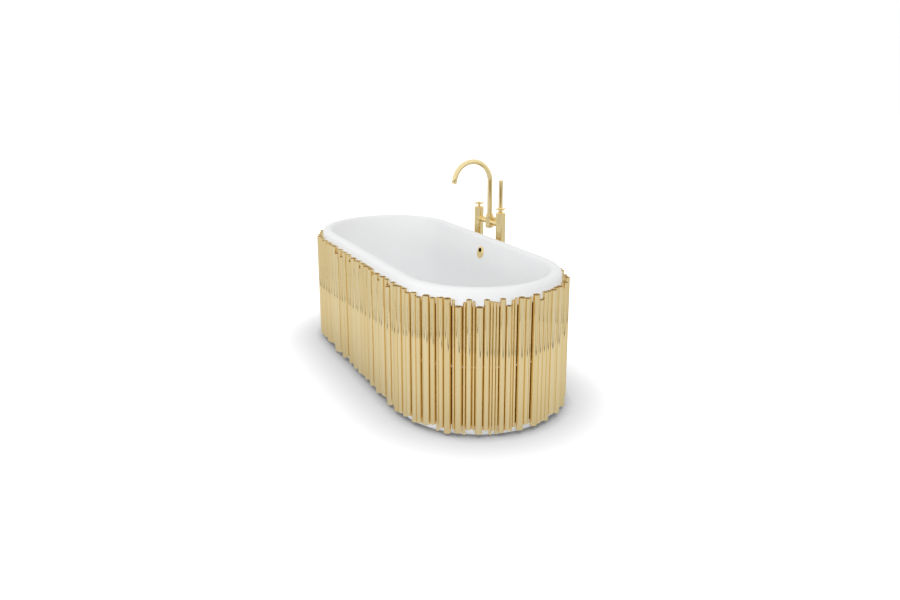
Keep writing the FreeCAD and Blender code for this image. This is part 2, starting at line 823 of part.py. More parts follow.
elbow_open = joined("Cut", "elbow_open", elbow_solid, elbow_bore)
keep(joined("Cut", "elbow_cut", elbow_open, elbow_socket_bore), "overflow_elbow")


def bent_tube(name, start, sweep, outer, bore, section_plane):
    """A tube swept along a path of two straight runs and the bend between them."""
    body = new_body(name)
    path = sketch_on(body, "YZ_Plane", name + "_path")
    sweep(path)
    for kind, radius in (("Additive", outer), ("Subtractive", bore)):
        section = sketch_on(body, "XY_Plane", name + "_" + kind.lower() + "_section", section_plane)
        circle(section, "0", start, radius)
        pipe = body.newObject(f"PartDesign::{kind}Pipe", name + "_" + kind.lower())
        pipe.Profile = section
        pipe.Spine = (path, [])
    return body


def chain(path, middle, radius, first, turn_start, turn_end, last):
    """Straight run, bend and straight run, each joined smoothly to the next."""
    up = FreeCAD.Vector(0, 0, 1)
    angles = sorted((turn_start, turn_end))
    bend = Part.ArcOfCircle(Part.Circle(middle, up, radius), *angles)
    path.addGeometry(Part.LineSegment(*first))
    path.addGeometry(bend)
    path.addGeometry(Part.LineSegment(*last))
    start, end = (1, 2) if turn_start < turn_end else (2, 1)
    path.addConstraint(Sketcher.Constraint("Tangent", 0, 2, 1, start))
    path.addConstraint(Sketcher.Constraint("Tangent", 1, end, 2, 1))


def overflow_path(path):
    """Down behind the basin, then level under the floor to the waste body."""
    top, low = value("socket_low + socket_depth"), value("branch_height")
    reach, bend = value("elbow_y"), value("pipe_bend")
    end = value("branch_reach - socket_depth")
    corner = FreeCAD.Vector(reach - bend, low + bend, 0)
    chain(
        path, corner, bend,
        (FreeCAD.Vector(reach, top, 0), FreeCAD.Vector(reach, low + bend, 0)),
        0, -math.pi / 2,
        (FreeCAD.Vector(reach - bend, low, 0), FreeCAD.Vector(end, low, 0)),
    )
    pin(path, 0, 1, "elbow_y", "socket_low + socket_depth")
    path.addConstraint(Sketcher.Constraint("Vertical", 0))
    hold(path, "Radius", "pipe_bend", 1)
    pin(path, 2, 2, "branch_reach - socket_depth", "branch_height")
    path.addConstraint(Sketcher.Constraint("Horizontal", 2))


overflow_pipe = bent_tube(
    "overflow_pipe", "elbow_y", overflow_path, "pipe_width / 2", "pipe_width / 2 - pipe_wall",
    "socket_low + socket_depth",
)
keep(place(overflow_pipe, "overflow_x"), "overflow_pipe")

# Filler: what stands twice, one hot and one cold
for side, x, inward in (("left", "left_x", "90 deg"), ("right", "right_x", "-90 deg")):
    base = turned(side + "_floor_flange", [
        ("supply_width / 2 + slip_gap", "0"),
        ("base_width / 2", "0"),
        ("base_width / 2", "base_thick - base_bevel"),
        ("base_width / 2 - base_bevel", "base_thick"),
        ("column_bore - slip_gap", "base_thick"),
        ("column_bore - slip_gap", "base_thick + base_spigot"),
        ("supply_width / 2 + slip_gap", "base_thick + base_spigot"),
    ])
    screw = sketch_on(base, "XY_Plane", side + "_screw")
    circle(screw, "0", "screw_circle / 2", "screw_hole / 2")
    screw_cut = pocket(base, screw, side + "_screw_cut", "base_thick", upwards=True)
    screws = base.newObject("PartDesign::PolarPattern", side + "_screws")
    screws.Originals = [screw_cut]
    screws.Axis = (screw, ["N_Axis"])
    screws.Occurrences = BASE_SCREWS
    base.Tip = screws
    keep(place(base, x, "filler_y"), side + "_floor_flange")

    shaft = turned(side + "_shaft", ring("column_width / 2", "column_bore", "base_thick", "cap_low"))
    place(shaft, x, "filler_y")
    port = place(
        rod(side + "_port", "bridge_bore / 2", "column_width"),
        x, "filler_y", "bridge_height", (0, 1, 0), inward,
    )
    keep(joined("Cut", side + "_column_cut", shaft, port), side + "_column")

    cap = turned(side + "_column_cap", [
        ("valve_stem / 2 + run_gap", "headwork_top"),
        ("column_bore - slip_gap", "headwork_top"),
        ("column_bore - slip_gap", "cap_low"),
        ("column_width / 2", "cap_low"),
        ("column_width / 2", "column_top - cap_bevel"),
        ("column_width / 2 - cap_bevel", "column_top"),
        ("valve_stem / 2 + run_gap", "column_top"),
    ])
    keep(place(cap, x, "filler_y"), side + "_column_cap")

    supply = turned(side + "_supply_pipe", [
        ("inlet_bore / 2", "0"),
        ("supply_width / 2", "0"),
        ("supply_width / 2", "headwork_low"),
        ("supply_bore / 2", "headwork_low"),
        ("supply_bore / 2", "inlet_depth"),
        ("inlet_bore / 2", "inlet_depth"),
    ])
    keep(place(supply, x, "filler_y"), side + "_supply_pipe")

    headwork = turned(side + "_headwork", [
        ("0", "headwork_low"),
        ("headwork_width / 2", "headwork_low"),
        ("headwork_width / 2", "headwork_top"),
        ("valve_stem / 2 + run_gap", "headwork_top"),
        ("valve_stem / 2 + run_gap", "headwork_top - headwork_bore"),
        ("0", "headwork_top - headwork_bore"),
    ])
    keep(place(headwork, x, "filler_y"), side + "_headwork")

    stem = turned(side + "_valve_stem", ring("valve_stem / 2", "0", "stem_low", "hub_low"))
    keep(place(stem, x, "filler_y"), side + "_valve_stem")

    handle = turned(side + "_cross_handle", [
        ("0", "-hub_below"),
        ("hub_width / 2 - hub_bevel", "-hub_below"),
        ("hub_width / 2", "hub_bevel - hub_below"),
        ("hub_width / 2", "hub_above - hub_bevel"),
        ("hub_width / 2 - hub_bevel", "hub_above"),
        ("0", "hub_above"),
    ])
    arm_profile = sketch_on(handle, "XZ_Plane", side + "_arm_profile")
    outline(arm_profile, [
        ("0", "0"),
        ("handle_span / 2", "0"),
        ("handle_span / 2", "arm_width / 2 - arm_bevel"),
        ("handle_span / 2 - arm_bevel", "arm_width / 2"),
        ("0", "arm_width / 2"),
    ])
    handle_arm = handle.newObject("PartDesign::Revolution", side + "_handle_arm")
    handle_arm.Profile = arm_profile
    handle_arm.ReferenceAxis = (arm_profile, ["H_Axis"])
    arms = handle.newObject("PartDesign::PolarPattern", side + "_handle_arms")
    arms.Originals = [handle_arm]
    arms.Axis = (arm_profile, ["V_Axis"])
    arms.Occurrences = HANDLE_ARMS
    handle.Tip = arms
    keep(place(handle, x, "filler_y", "handle_height"), side + "_cross_handle")

    bridge = turned(side + "_bridge", [
        ("bridge_bore / 2", "0"),
        ("bridge_nut / 2", "0"),
        ("bridge_nut / 2", "column_width / 2 + bridge_nut_length"),
        ("bridge_width / 2", "column_width / 2 + bridge_nut_length"),
        ("bridge_width / 2", "column_spacing / 2"),
        ("bridge_bore / 2", "column_spacing / 2"),
    ])
    place(bridge, x, "filler_y", "bridge_height", (0, 1, 0), inward)
    column_clear = place(
        rod(side + "_column_clear", "column_width / 2 + saddle_gap", "bridge_nut + 2 * overrun"),
        x, "filler_y", "bridge_height - bridge_nut / 2 - overrun",
    )
    mixer_clear = place(
        rod(side + "_mixer_clear", "mixer_width / 2 + saddle_gap", "bridge_nut + 2 * overrun"),
        "filler_x", "filler_y", "bridge_height - bridge_nut / 2 - overrun",
    )
    saddled = joined("Cut", side + "_bridge_saddled", bridge, column_clear)
    keep(joined("Cut", side + "_bridge_cut", saddled, mixer_clear), side + "_bridge_tube")

# Mixer body: a bored cylinder that the bridge, the spout, the diverter and the hose outlet all meet
block = place(turned("mixer_block", [
    ("0", "mixer_low"),
    ("mixer_width / 2 - mixer_bevel", "mixer_low"),
    ("mixer_width / 2", "mixer_low + mixer_bevel"),
    ("mixer_width / 2", "mixer_top - mixer_bevel"),
    ("mixer_width / 2 - mixer_bevel", "mixer_top"),
    ("spout_width / 2 + run_gap", "mixer_top"),
    ("spout_width / 2 + run_gap", "spout_seat"),
    ("mixer_bore / 2", "spout_seat"),
    ("mixer_bore / 2", "hose_height - hose_bore / 2"),
    ("0", "hose_height - hose_bore / 2"),
]), "filler_x", "filler_y")
cross_bore = place(
    rod("cross_bore", "bridge_bore / 2", "mixer_width + 2 * overrun"),
    "filler_x - mixer_width / 2 - overrun", "filler_y", "bridge_height", (0, 1, 0), "90 deg",
)
diverter_bore = place(
    rod("diverter_bore", "diverter_stem / 2 + run_gap", "mixer_width / 2 - diverter_seat + overrun"),
    "filler_x", "filler_y + diverter_seat", "diverter_height", (1, 0, 0), "-90 deg",
)
hose_way = place(
    rod("hose_way", "hose_bore / 2", "mixer_width / 2 + overrun"),
    "filler_x", "filler_y", "hose_height", (1, 0, 0), "-90 deg",
)
mixer = block
for cutter in (cross_bore, diverter_bore, hose_way):
    mixer = joined("Cut", "mixer_less_" + cutter.Name, mixer, cutter)
keep(mixer, "mixer_body")


def behind_mixer(thing, height):
    """Stand a piece on the mixer body's back, its own Z pointing away from the bath."""
    return place(thing, "filler_x", "filler_y", height, (1, 0, 0), "-90 deg")


mixer_back = rod("mixer_back", "mixer_width / 2 + saddle_gap", "mixer_height")
place(mixer_back, "filler_x", "filler_y", "mixer_low")
knob = behind_mixer(turned("diverter_spindle", [
    ("0", "diverter_seat + seat_gap"),
    ("diverter_stem / 2", "diverter_seat + seat_gap"),
    ("diverter_stem / 2", "mixer_width / 2 + seat_gap"),
    ("diverter_knob / 2", "mixer_width / 2 + seat_gap"),
    ("diverter_knob / 2", "mixer_width / 2 + diverter_length - diverter_bevel"),
    ("diverter_knob / 2 - diverter_bevel", "mixer_width / 2 + diverter_length"),
    ("0", "mixer_width / 2 + diverter_length"),
]), "diverter_height")
keep(knob, "diverter_knob")
outlet = behind_mixer(turned("hose_nipple", [
    ("hose_bore / 2", "0"),
    ("hose_flange / 2", "0"),
    ("hose_flange / 2", "mixer_width / 2 + hose_flange_thick"),
    ("hose_thread / 2", "mixer_width / 2 + hose_flange_thick"),
    ("hose_thread / 2", "mixer_width / 2 + hose_flange_thick + hose_length"),
    ("hose_bore / 2", "mixer_width / 2 + hose_flange_thick + hose_length"),
]), "hose_height")
keep(joined("Cut", "hose_outlet_cut", outlet, mixer_back), "hose_outlet")

# Gooseneck spout in its collar, with an aerator in the tip
keep(place(turned("spout_collar", [
    ("spout_width / 2 + seat_gap", "mixer_top"),
    ("collar_width / 2", "mixer_top"),
    ("collar_width / 2", "mixer_top + collar_height - collar_bevel"),
    ("collar_width / 2 - collar_bevel", "mixer_top + collar_height"),
    ("spout_width / 2 + seat_gap", "mixer_top + collar_height"),
]), "filler_x", "filler_y"), "spout_collar")
BEND_END = f"(1 - cos({SPOUT_TURN})) * spout_bend"
BEND_RISE = f"sin({SPOUT_TURN}) * spout_bend"
TIP_OUT = f"{BEND_END} + sin({SPOUT_TURN}) * spout_leg"
TIP_UP = f"spout_rise + {BEND_RISE} + cos({SPOUT_TURN}) * spout_leg"


def spout_path(path):
    """Up from the mixer body, over towards the bath and down to the tip."""
    bend = value("spout_bend")
    seat, rise = value("spout_seat + seat_gap"), value("spout_rise")
    over = FreeCAD.Vector(-value(BEND_END), rise + value(BEND_RISE), 0)
    chain(
        path, FreeCAD.Vector(-bend, rise, 0), bend,
        (FreeCAD.Vector(0, seat, 0), FreeCAD.Vector(0, rise, 0)),
        0, math.radians(SPOUT_TURN),
        (over, FreeCAD.Vector(-value(TIP_OUT), value(TIP_UP), 0)),
    )
    pin(path, 0, 1, "0", "spout_seat + seat_gap")
    pin(path, 0, 2, "0", "spout_rise")
    hold(path, "Radius", "spout_bend", 1)
    hold(path, "DistanceX", f"-({BEND_END})", -1, 1, 1, 2)
    hold(path, "Distance", "spout_leg", 2)


spout = bent_tube(
    "spout", "0", spout_path, "spout_width / 2", "spout_bore / 2", "spout_seat + seat_gap",
)
keep(place(spout, "filler_x", "filler_y"), "spout")
aerator = turned("aerator", ring(
    "spout_bore / 2 - slip_gap", "0", "aerator_inset", "aerator_inset + aerator_length",
))
place(aerator, "filler_x", f"filler_y - ({TIP_OUT})", TIP_UP, (1, 0, 0), f"{SPOUT_TURN} deg - 180 deg")
keep(aerator, "aerator")

# Hand shower: an arm from the mixer body, a cradle at its end and the stick that hangs in it by its collar
holder = turned("holder_bar", ring("arm_tube / 2", "0", "0", "arm_reach"))
holder.Placement = FreeCAD.Placement(
    FreeCAD.Vector(),
    FreeCAD.Rotation(FreeCAD.Vector(-value("cradle_y"), value("cradle_x"), 0), 90),
)
place(holder, "filler_x", "filler_y", "arm_height")
arm_mixer_clear = place(
    rod("arm_mixer_clear", "mixer_width / 2 + saddle_gap", "mixer_height"),
    "filler_x", "filler_y", "mixer_low",
)
arm_cradle_clear = place(
    rod("arm_cradle_clear", "cradle_width / 2 + saddle_gap", "cradle_height"),
    "filler_x + cradle_x", "filler_y + cradle_y", "cradle_low",
)
held = joined("Cut", "arm_at_mixer", holder, arm_mixer_clear)
keep(joined("Cut", "arm_at_cradle", held, arm_cradle_clear), "holder_arm")
keep(place(turned("hand_shower_cradle", [
    ("wand_width / 2 + wand_gap", "cradle_low"),
    ("cradle_width / 2 - cradle_bevel", "cradle_low"),
    ("cradle_width / 2", "cradle_low + cradle_bevel"),
    ("cradle_width / 2", "cradle_top - cradle_bevel"),
    ("cradle_width / 2 - cradle_bevel", "cradle_top"),
    ("wand_width / 2 + wand_gap", "cradle_top"),
]), "filler_x + cradle_x", "filler_y + cradle_y"), "hand_shower_cradle")
wand = turned("shower_stick", [
    ("0", "cradle_low - wand_tail"),
    ("hose_thread / 2", "cradle_low - wand_tail"),
    ("hose_thread / 2", "cradle_low"),
    ("wand_width / 2", "cradle_low"),
    ("wand_width / 2", "cradle_top + seat_gap"),
    ("wand_collar / 2", "cradle_top + seat_gap"),
    ("wand_collar / 2", "cradle_top + seat_gap + wand_collar_height"),
    ("wand_width / 2", "cradle_top + seat_gap + wand_collar_height"),
    ("wand_width / 2", "wand_top - wand_bevel"),
    ("wand_width / 2 - wand_bevel", "wand_top"),
    ("0", "wand_top"),
])
place(wand, "filler_x + cradle_x", "filler_y + cradle_y")


def spray_slab(name, extra):
    """An upright slab set into the back of the stick."""
    body = new_body(name)
    sketch = sketch_on(body, "YZ_Plane", name + "_plan")
    half = f"spray_width / 2 + {extra}"
    outline(sketch, [
        (f"wand_width / 2 - spray_depth - {extra}", f"spray_top - spray_length - {extra}"),
        ("wand_width / 2", f"spray_top - spray_length - {extra}"),
        ("wand_width / 2", f"spray_top + {extra}"),
        (f"wand_width / 2 - spray_depth - {extra}", f"spray_top + {extra}"),
    ])
    pad(body, sketch, name + "_pad", f"2 * ({half})", both_ways=True)
    return place(body, "filler_x + cradle_x", "filler_y + cradle_y")


recess = spray_slab("spray_recess", "spray_gap")
keep(joined("Cut", "hand_shower_cut", wand, recess), "hand_shower")
wand_round = place(
    rod("wand_round", "wand_width / 2", "wand_top"), "filler_x + cradle_x", "filler_y + cradle_y",
)
keep(joined("Common", "spray_trimmed", spray_slab("spray_block", "0"), wand_round), "spray_face")

# Nothing is written unless every feature has built and every piece is a sound solid
doc.recompute()
failed = [thing.Label for thing in doc.Objects if {"Invalid", "Error"} & set(thing.State)]
if failed:
    raise SystemExit("these features failed: " + ", ".join(failed))
unsound = [
    thing.Label for thing in nodes
    if thing.Shape.isNull() or not thing.Shape.isValid() or not thing.Shape.Solids
]
if unsound:
    raise SystemExit("these pieces are not sound solids: " + ", ".join(unsound))
os.makedirs("parts", exist_ok=True)
for thing in nodes:
    thing.Shape.exportStep(f"parts/{thing.Label}.step")
print(len(nodes), "pieces,", runs, "runs of tubes,", f"gap {gap:.2f} mm")
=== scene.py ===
import math
import bpy
from mathutils import Matrix, Vector


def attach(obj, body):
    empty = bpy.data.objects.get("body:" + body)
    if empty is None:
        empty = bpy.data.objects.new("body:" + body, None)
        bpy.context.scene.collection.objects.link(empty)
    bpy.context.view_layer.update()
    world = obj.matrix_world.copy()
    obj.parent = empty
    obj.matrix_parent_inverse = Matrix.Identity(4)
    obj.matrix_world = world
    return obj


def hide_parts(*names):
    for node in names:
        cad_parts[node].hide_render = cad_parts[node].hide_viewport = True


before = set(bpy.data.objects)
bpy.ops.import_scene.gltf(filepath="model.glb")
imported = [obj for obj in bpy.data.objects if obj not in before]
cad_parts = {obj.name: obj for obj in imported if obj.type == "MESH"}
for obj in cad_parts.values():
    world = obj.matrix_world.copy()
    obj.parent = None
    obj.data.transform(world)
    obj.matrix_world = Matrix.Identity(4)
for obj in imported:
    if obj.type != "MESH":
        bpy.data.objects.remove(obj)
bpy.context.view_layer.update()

# Steel frame and feet: welded square tube with turned bosses, levelling feet and lock nuts.
# It stands on the floor and carries the base board. Its zinc plating has a faint cloudy spangle,
# and below that are fine marks from the mill.
zinc_deep, zinc_pale = (0.44, 0.46, 0.48), (0.66, 0.67, 0.68)


def wire(tree, kind, inputs=None, **settings):
    """Add a shader node, set it up and connect it."""
    node = tree.nodes.new(kind)
    for name, value in settings.items():
        setattr(node, name, value)
    for name, value in (inputs or {}).items():
        if isinstance(value, bpy.types.NodeSocket):
            tree.links.new(value, node.inputs[name])
        else:
            node.inputs[name].default_value = value
    return node


def sum_of(tree, operation, *values):
    """A sum worked out on values or masks."""
    return wire(tree, "ShaderNodeMath", dict(enumerate(values)), operation=operation).outputs["Value"]


def vector_of(tree, operation, *values):
    """A sum worked out on places or colours."""
    return wire(tree, "ShaderNodeVectorMath", dict(enumerate(values)), operation=operation).outputs["Vector"]


def new_effect(name, inputs, outputs):
    """An empty shader group with named sockets, and its two end nodes."""
    group = bpy.data.node_groups.new(name, "ShaderNodeTree")
    for label, kind, default in inputs:
        socket = group.interface.new_socket(name=label, in_out="INPUT", socket_type="NodeSocket" + kind)
        if default is not None:
            socket.default_value = default
    for label, kind in outputs:
        group.interface.new_socket(name=label, in_out="OUTPUT", socket_type="NodeSocket" + kind)
    return group, group.nodes.new("NodeGroupInput"), group.nodes.new("NodeGroupOutput")


# cloudy drift of a finish over a hand's breadth
drift, drift_in, drift_out = new_effect(
    "Cloudy drift",
    [("Vector", "Vector", None), ("Scale", "Float", 8.0)],
    [("Cloud", "Float")],
)
cloud = wire(drift, "ShaderNodeTexNoise", {
    "Vector": drift_in.outputs["Vector"], "Scale": drift_in.outputs["Scale"],
    "Detail": 3.0, "Roughness": 0.55,
})
drift.links.new(cloud.outputs["Fac"], drift_out.inputs["Cloud"])

# fine lines that run one way, left by drawing, rolling or polishing
lines, lines_in, lines_out = new_effect(
    "Drawn lines",
    [("Vector", "Vector", None), ("Stretch", "Vector", (900.0, 900.0, 9.0))],
    [("Lines", "Float"), ("Height", "Float")],
)
stretched = vector_of(lines, "MULTIPLY", lines_in.outputs["Vector"], lines_in.outputs["Stretch"])
coarse = wire(lines, "ShaderNodeTexNoise", {
    "Vector": stretched, "Scale": 0.35, "Detail": 2.0, "Roughness": 0.6,
}).outputs["Fac"]
fine = wire(lines, "ShaderNodeTexNoise", {
    "Vector": stretched, "Scale": 1.6, "Detail": 4.0, "Roughness": 0.7,
}).outputs["Fac"]
lines.links.new(sum_of(lines, "MULTIPLY", coarse, fine), lines_out.inputs["Height"])
lines.links.new(coarse, lines_out.inputs["Lines"])


def new_finish(name):
    """A material with its node tree, its shader and the place on the piece."""
    material = bpy.data.materials.new(name)
    material.use_nodes = True
    tree = material.node_tree
    shader = next(node for node in tree.nodes if node.type == "BSDF_PRINCIPLED")
    spot = tree.nodes.new("ShaderNodeTexCoord").outputs["Object"]
    return material, tree, shader, spot


def clouded(tree, spot, scale):
    """A mask of soft clouds, finer with a larger scale."""
    return wire(tree, "ShaderNodeGroup", {"Vector": spot, "Scale": scale}, node_tree=drift).outputs["Cloud"]


def lined(tree, spot, stretch):
    """Fine lines as a mask and as a height, running the way in which the stretch is least."""
    return wire(tree, "ShaderNodeGroup", {"Vector": spot, "Stretch": stretch}, node_tree=lines)


def ramp(tree, mask, *stops):
    """Turn a mask into colours or values, each stop a place and a colour or a value."""
    node = wire(tree, "ShaderNodeValToRGB", {"Fac": mask})
    points = node.color_ramp.elements
    while len(points) < len(stops):
        points.new(1.0)
    for point, (place, colour) in zip(points, stops):
        point.position = place
        point.color = (*colour, 1.0) if isinstance(colour, tuple) else (colour, colour, colour, 1.0)
    return node.outputs["Color"]


def vary(tree, shader, quality, mask, *stops):
    """Let a mask vary one quality of a finish."""
    tree.links.new(ramp(tree, mask, *stops), shader.inputs[quality])


def dent(tree, shader, height, depth, strength):
    """Let a mask dent the surface."""
    bump = wire(tree, "ShaderNodeBump", {"Height": height, "Distance": depth, "Strength": strength})
    tree.links.new(bump.outputs["Normal"], shader.inputs["Normal"])


def dress(material, *nodes):
    """Give carried-over nodes their finish."""
    for node in nodes:
        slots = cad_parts[node].data.materials
        slots.clear()
        slots.append(material)


zinc, tree, shader, spot = new_finish("zinc_plated_steel")
shader.inputs["Metallic"].default_value = 1.0
spangle = clouded(tree, spot, 45.0)
mill = lined(tree, spot, (60.0, 60.0, 60.0))
vary(tree, shader, "Base Color", spangle, (0.3, zinc_deep), (0.7, zinc_pale))
vary(tree, shader, "Roughness", spangle, (0.2, 0.34), (0.8, 0.5))
dent(tree, shader, mill.outputs["Height"], 0.0003, 0.2)
dress(zinc, "frame_rails", "cross_members", "foot_bosses", "levelling_feet", "lock_nuts")

# Base board: birch plywood bonded under the floor of the basin, screwed down on the frame rails.
# Bare wood, with long grain along the bath.
board_deep, board_pale = (0.50, 0.35, 0.20), (0.70, 0.55, 0.36)
plywood, tree, shader, spot = new_finish("birch_plywood")
grain = lined(tree, spot, (7.0, 260.0, 260.0)).outputs["Height"]
figure = clouded(tree, spot, 6.0)
vary(tree, shader, "Base Color", sum_of(tree, "ADD", grain, figure), (0.45, board_deep), (0.95, board_pale))
shader.inputs["Roughness"].default_value = 0.62
dent(tree, shader, grain, 0.0006, 0.3)
dress(plywood, "base_board")

# Skirt: an oval shell of cast white acrylic under the lip, bonded to it and standing just clear of the floor.
# Only its foot shows, below the tubes.
skirt_half_length, skirt_half_width = 0.8668, 0.3668
skirt_low, skirt_high, skirt_wall, skirt_ease = 0.003, 0.566, 0.005, 0.0012
white_deep, white_lit = (0.905, 0.910, 0.916), (0.925, 0.928, 0.932)
ease_shares, ease_limit_share = (0.0, 0.33, 0.67, 1.0), 0.45
# degrees, less than the first facet of an eased edge, so that long walls mirror straight
wall_sharp = 8


def oval(half_length, half_width, z, bend=48, straight=20):
    """Points round the plan of the bath, an end and a long side and then the other two."""
    run = half_length - half_width
    points = []
    for side in (1, -1):
        for step in range(bend + 1):
            angle = math.pi * (step / bend - 0.5)
            x = side * (run + half_width * math.cos(angle))
            points.append((x, side * half_width * math.sin(angle), z))
        for step in range(1, straight):
            points.append((side * run * (1 - 2 * step / straight), side * half_width, z))
    return points


def looped(rings, closed):
    """Points and faces of a skin over equal rings, from the last one back to the first where it is closed."""
    count = len(rings[0])
    points = [tuple(point) for ring in rings for point in ring]
    faces = []
    for one in range(len(rings) - (0 if closed else 1)):
        two = (one + 1) % len(rings)
        for a in range(count):
            b = (a + 1) % count
            faces.append((one * count + a, one * count + b, two * count + b, two * count + a))
    return points, faces


def add_piece(name, shape, material, node, body="bath_and_filler", sharp=35):
    """Make a smooth piece that stands for a CAD node and moves with a body."""
    mesh = bpy.data.meshes.new(name)
    mesh.from_pydata(shape[0], [], shape[1])
    mesh.validate()
    mesh.materials.append(material)
    mesh.shade_smooth()
    mesh.set_sharp_from_angle(angle=math.radians(sharp))
    piece = bpy.data.objects.new(name, mesh)
    bpy.context.scene.collection.objects.link(piece)
    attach(piece, body)
    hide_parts(node)
    return piece


def eased(corners, radius, closed=True):
    """The same outline with each corner rounded over, but for the ends of an open one."""
    points = []
    for index, (r, z) in enumerate(corners):
        if not closed and index in (0, len(corners) - 1):
            points.append((r, z))
            continue
        here = Vector((r, z))
        before = Vector(corners[index - 1]) - here
        after = Vector(corners[(index + 1) % len(corners)]) - here
        reach = min(radius, ease_limit_share * before.length, ease_limit_share * after.length)
        start, end = here + before.normalized() * reach, here + after.normalized() * reach
        for t in ease_shares:
            point = start * (1 - t) ** 2 + here * (2 * t * (1 - t)) + end * t * t
            points.append((point.x, point.y))
    return points


acrylic, tree, shader, spot = new_finish("white_acrylic")
shade = clouded(tree, spot, 3.0)
peel = clouded(tree, spot, 160.0)
vary(tree, shader, "Base Color", shade, (0.3, white_deep), (0.7, white_lit))
vary(tree, shader, "Roughness", peel, (0.2, 0.30), (0.8, 0.42))
shader.inputs["Specular IOR Level"].default_value = 0.12
dent(tree, shader, peel, 0.0002, 0.05)

section = eased([
    (0.0, skirt_low), (0.0, skirt_high), (-skirt_wall, skirt_high), (-skirt_wall, skirt_low),
], skirt_ease)
rings = [oval(skirt_half_length + out, skirt_half_width + out, z) for out, z in section]
add_piece("skirt_shell", looped(rings, True), acrylic, "skirt", sharp=wall_sharp)

# Basin: cast in one piece in the same white acrylic, with a rolled rim and a soft sweep into the floor.
# Its walls lean more at the ends than along the sides, and it hangs in the skirt by its lip.
rim_high, rim_width, rim_roll = 0.612, 0.046, 0.022
lip_low, basin_wall = skirt_high, 0.008
floor_high, floor_half_length, floor_half_width, floor_sweep = 0.150, 0.560, 0.210, 0.090
drain_hole, overflow_hole, overflow_high, drill_length = 0.0245, 0.0265, 0.533, 0.04
lip_steps, roll_steps, wall_steps, sweep_steps = 10, 12, 8, 14
floor_shares = (0.15, 0.35, 0.55, 0.75, 0.9, 1.0)
mouth_half_length, mouth_half_width = skirt_half_length - rim_width, skirt_half_width - rim_width
deep, quarter = rim_high - floor_high, math.pi / 2
end_lean = (mouth_half_length - floor_half_length) / deep
side_lean = (mouth_half_width - floor_half_width) / deep


def inner_wall(z, mouth_half, floor_half, lean):
    """Half the inside size at a height, rolled over at the rim and swept in at the floor."""
    slope = math.atan(lean)
    down, up = rim_high - z, z - floor_high
    if down < rim_roll * (1 - math.sin(slope)):
        middle = mouth_half - lean * rim_roll + rim_roll / math.cos(slope)
        return middle - math.sqrt(max(0.0, rim_roll ** 2 - (rim_roll - down) ** 2))
    if up < floor_sweep * (1 - math.sin(slope)):
        middle = floor_half + lean * floor_sweep - floor_sweep / math.cos(slope)
        return middle + math.sqrt(max(0.0, floor_sweep ** 2 - (floor_sweep - up) ** 2))
    return mouth_half - lean * down


# up the outside of the lip and over the roll
rings = [oval(skirt_half_length, skirt_half_width, z) for z in (lip_low, rim_high - rim_roll)]
for step in range(1, lip_steps + 1):
    angle = quarter * step / lip_steps
    inset = rim_roll * (1 - math.cos(angle))
    z = rim_high - rim_roll * (1 - math.sin(angle))
    rings.append(oval(skirt_half_length - inset, skirt_half_width - inset, z))
# down the inside, and in over the floor to the drain
levels = [
    rim_high - rim_roll * (1 - math.cos(quarter * step / roll_steps)) for step in range(roll_steps + 1)
]
straight_wall = deep - rim_roll - floor_sweep
levels += [rim_high - rim_roll - straight_wall * step / wall_steps for step in range(1, wall_steps)]
levels += [
    floor_high + floor_sweep * (1 - math.sin(quarter * step / sweep_steps)) for step in range(sweep_steps + 1)
]
for z in levels:
    rings.append(oval(
        inner_wall(z, mouth_half_length, floor_half_length, end_lean),
        inner_wall(z, mouth_half_width, floor_half_width, side_lean),
        z,
    ))
edge = rings[-1]
hole = []
for x, y, z in edge:
    angle = math.atan2(y, x)
    hole.append((drain_hole * math.cos(angle), drain_hole * math.sin(angle), z))
for share in floor_shares:
    rings.append([
        (e[0] + (h[0] - e[0]) * share, e[1] + (h[1] - e[1]) * share, e[2]) for e, h in zip(edge, hole)
    ])
# through the drain, and back up the underside to the lip
under = floor_high - basin_wall
rings.append([(x, y, under) for x, y, z in hole])
rings.append(oval(
    floor_half_length + basin_wall * (1 - end_lean), floor_half_width + basin_wall * (1 - side_lean), under,
))
shoulder = rim_high - lip_low
rings.append(oval(
    mouth_half_length - shoulder * end_lean + basin_wall,
    mouth_half_width - shoulder * side_lean + basin_wall,
    lip_low,
))
basin = add_piece("basin_shell", looped(rings, True), acrylic, "basin", sharp=50)


def circle(radius, steps):
    """Points of a circle about the origin."""
    turns = [step * math.tau / steps for step in range(steps)]
    return [(radius * math.cos(turn), radius * math.sin(turn)) for turn in turns]


def capped(rings):
    """A skin over equal rings, closed flat at both ends."""
    count = len(rings[0])
    points, faces = looped(rings, False)
    faces += [tuple(reversed(range(count))), tuple(range(len(points) - count, len(points)))]
    return points, faces


def drilled(piece, radius, length, matrix, steps=48):
    """Drill a round hole through a piece."""
    points, faces = capped([[(x, y, z) for x, y in circle(radius, steps)] for z in (-length / 2, length / 2)])
    mesh = bpy.data.meshes.new("drill")
    mesh.from_pydata([matrix @ Vector(point) for point in points], [], faces)
    drill = bpy.data.objects.new("drill", mesh)
    bpy.context.scene.collection.objects.link(drill)
    cut = piece.modifiers.new("hole", "BOOLEAN")
    cut.object, cut.operation, cut.solver = drill, "DIFFERENCE", "EXACT"
    bpy.context.view_layer.update()
    whole = bpy.data.meshes.new_from_object(piece.evaluated_get(bpy.context.evaluated_depsgraph_get()))
    piece.modifiers.clear()
    piece.data = whole
    bpy.data.objects.remove(drill)


overflow_back = floor_half_width + (overflow_high - floor_high) * side_lean
square_to_wall = Matrix.Rotation(quarter - math.atan(side_lean), 4, "X")
far_wall = Matrix.Translation((0, overflow_back, overflow_high)) @ square_to_wall
drilled(basin, overflow_hole, drill_length, far_wall)

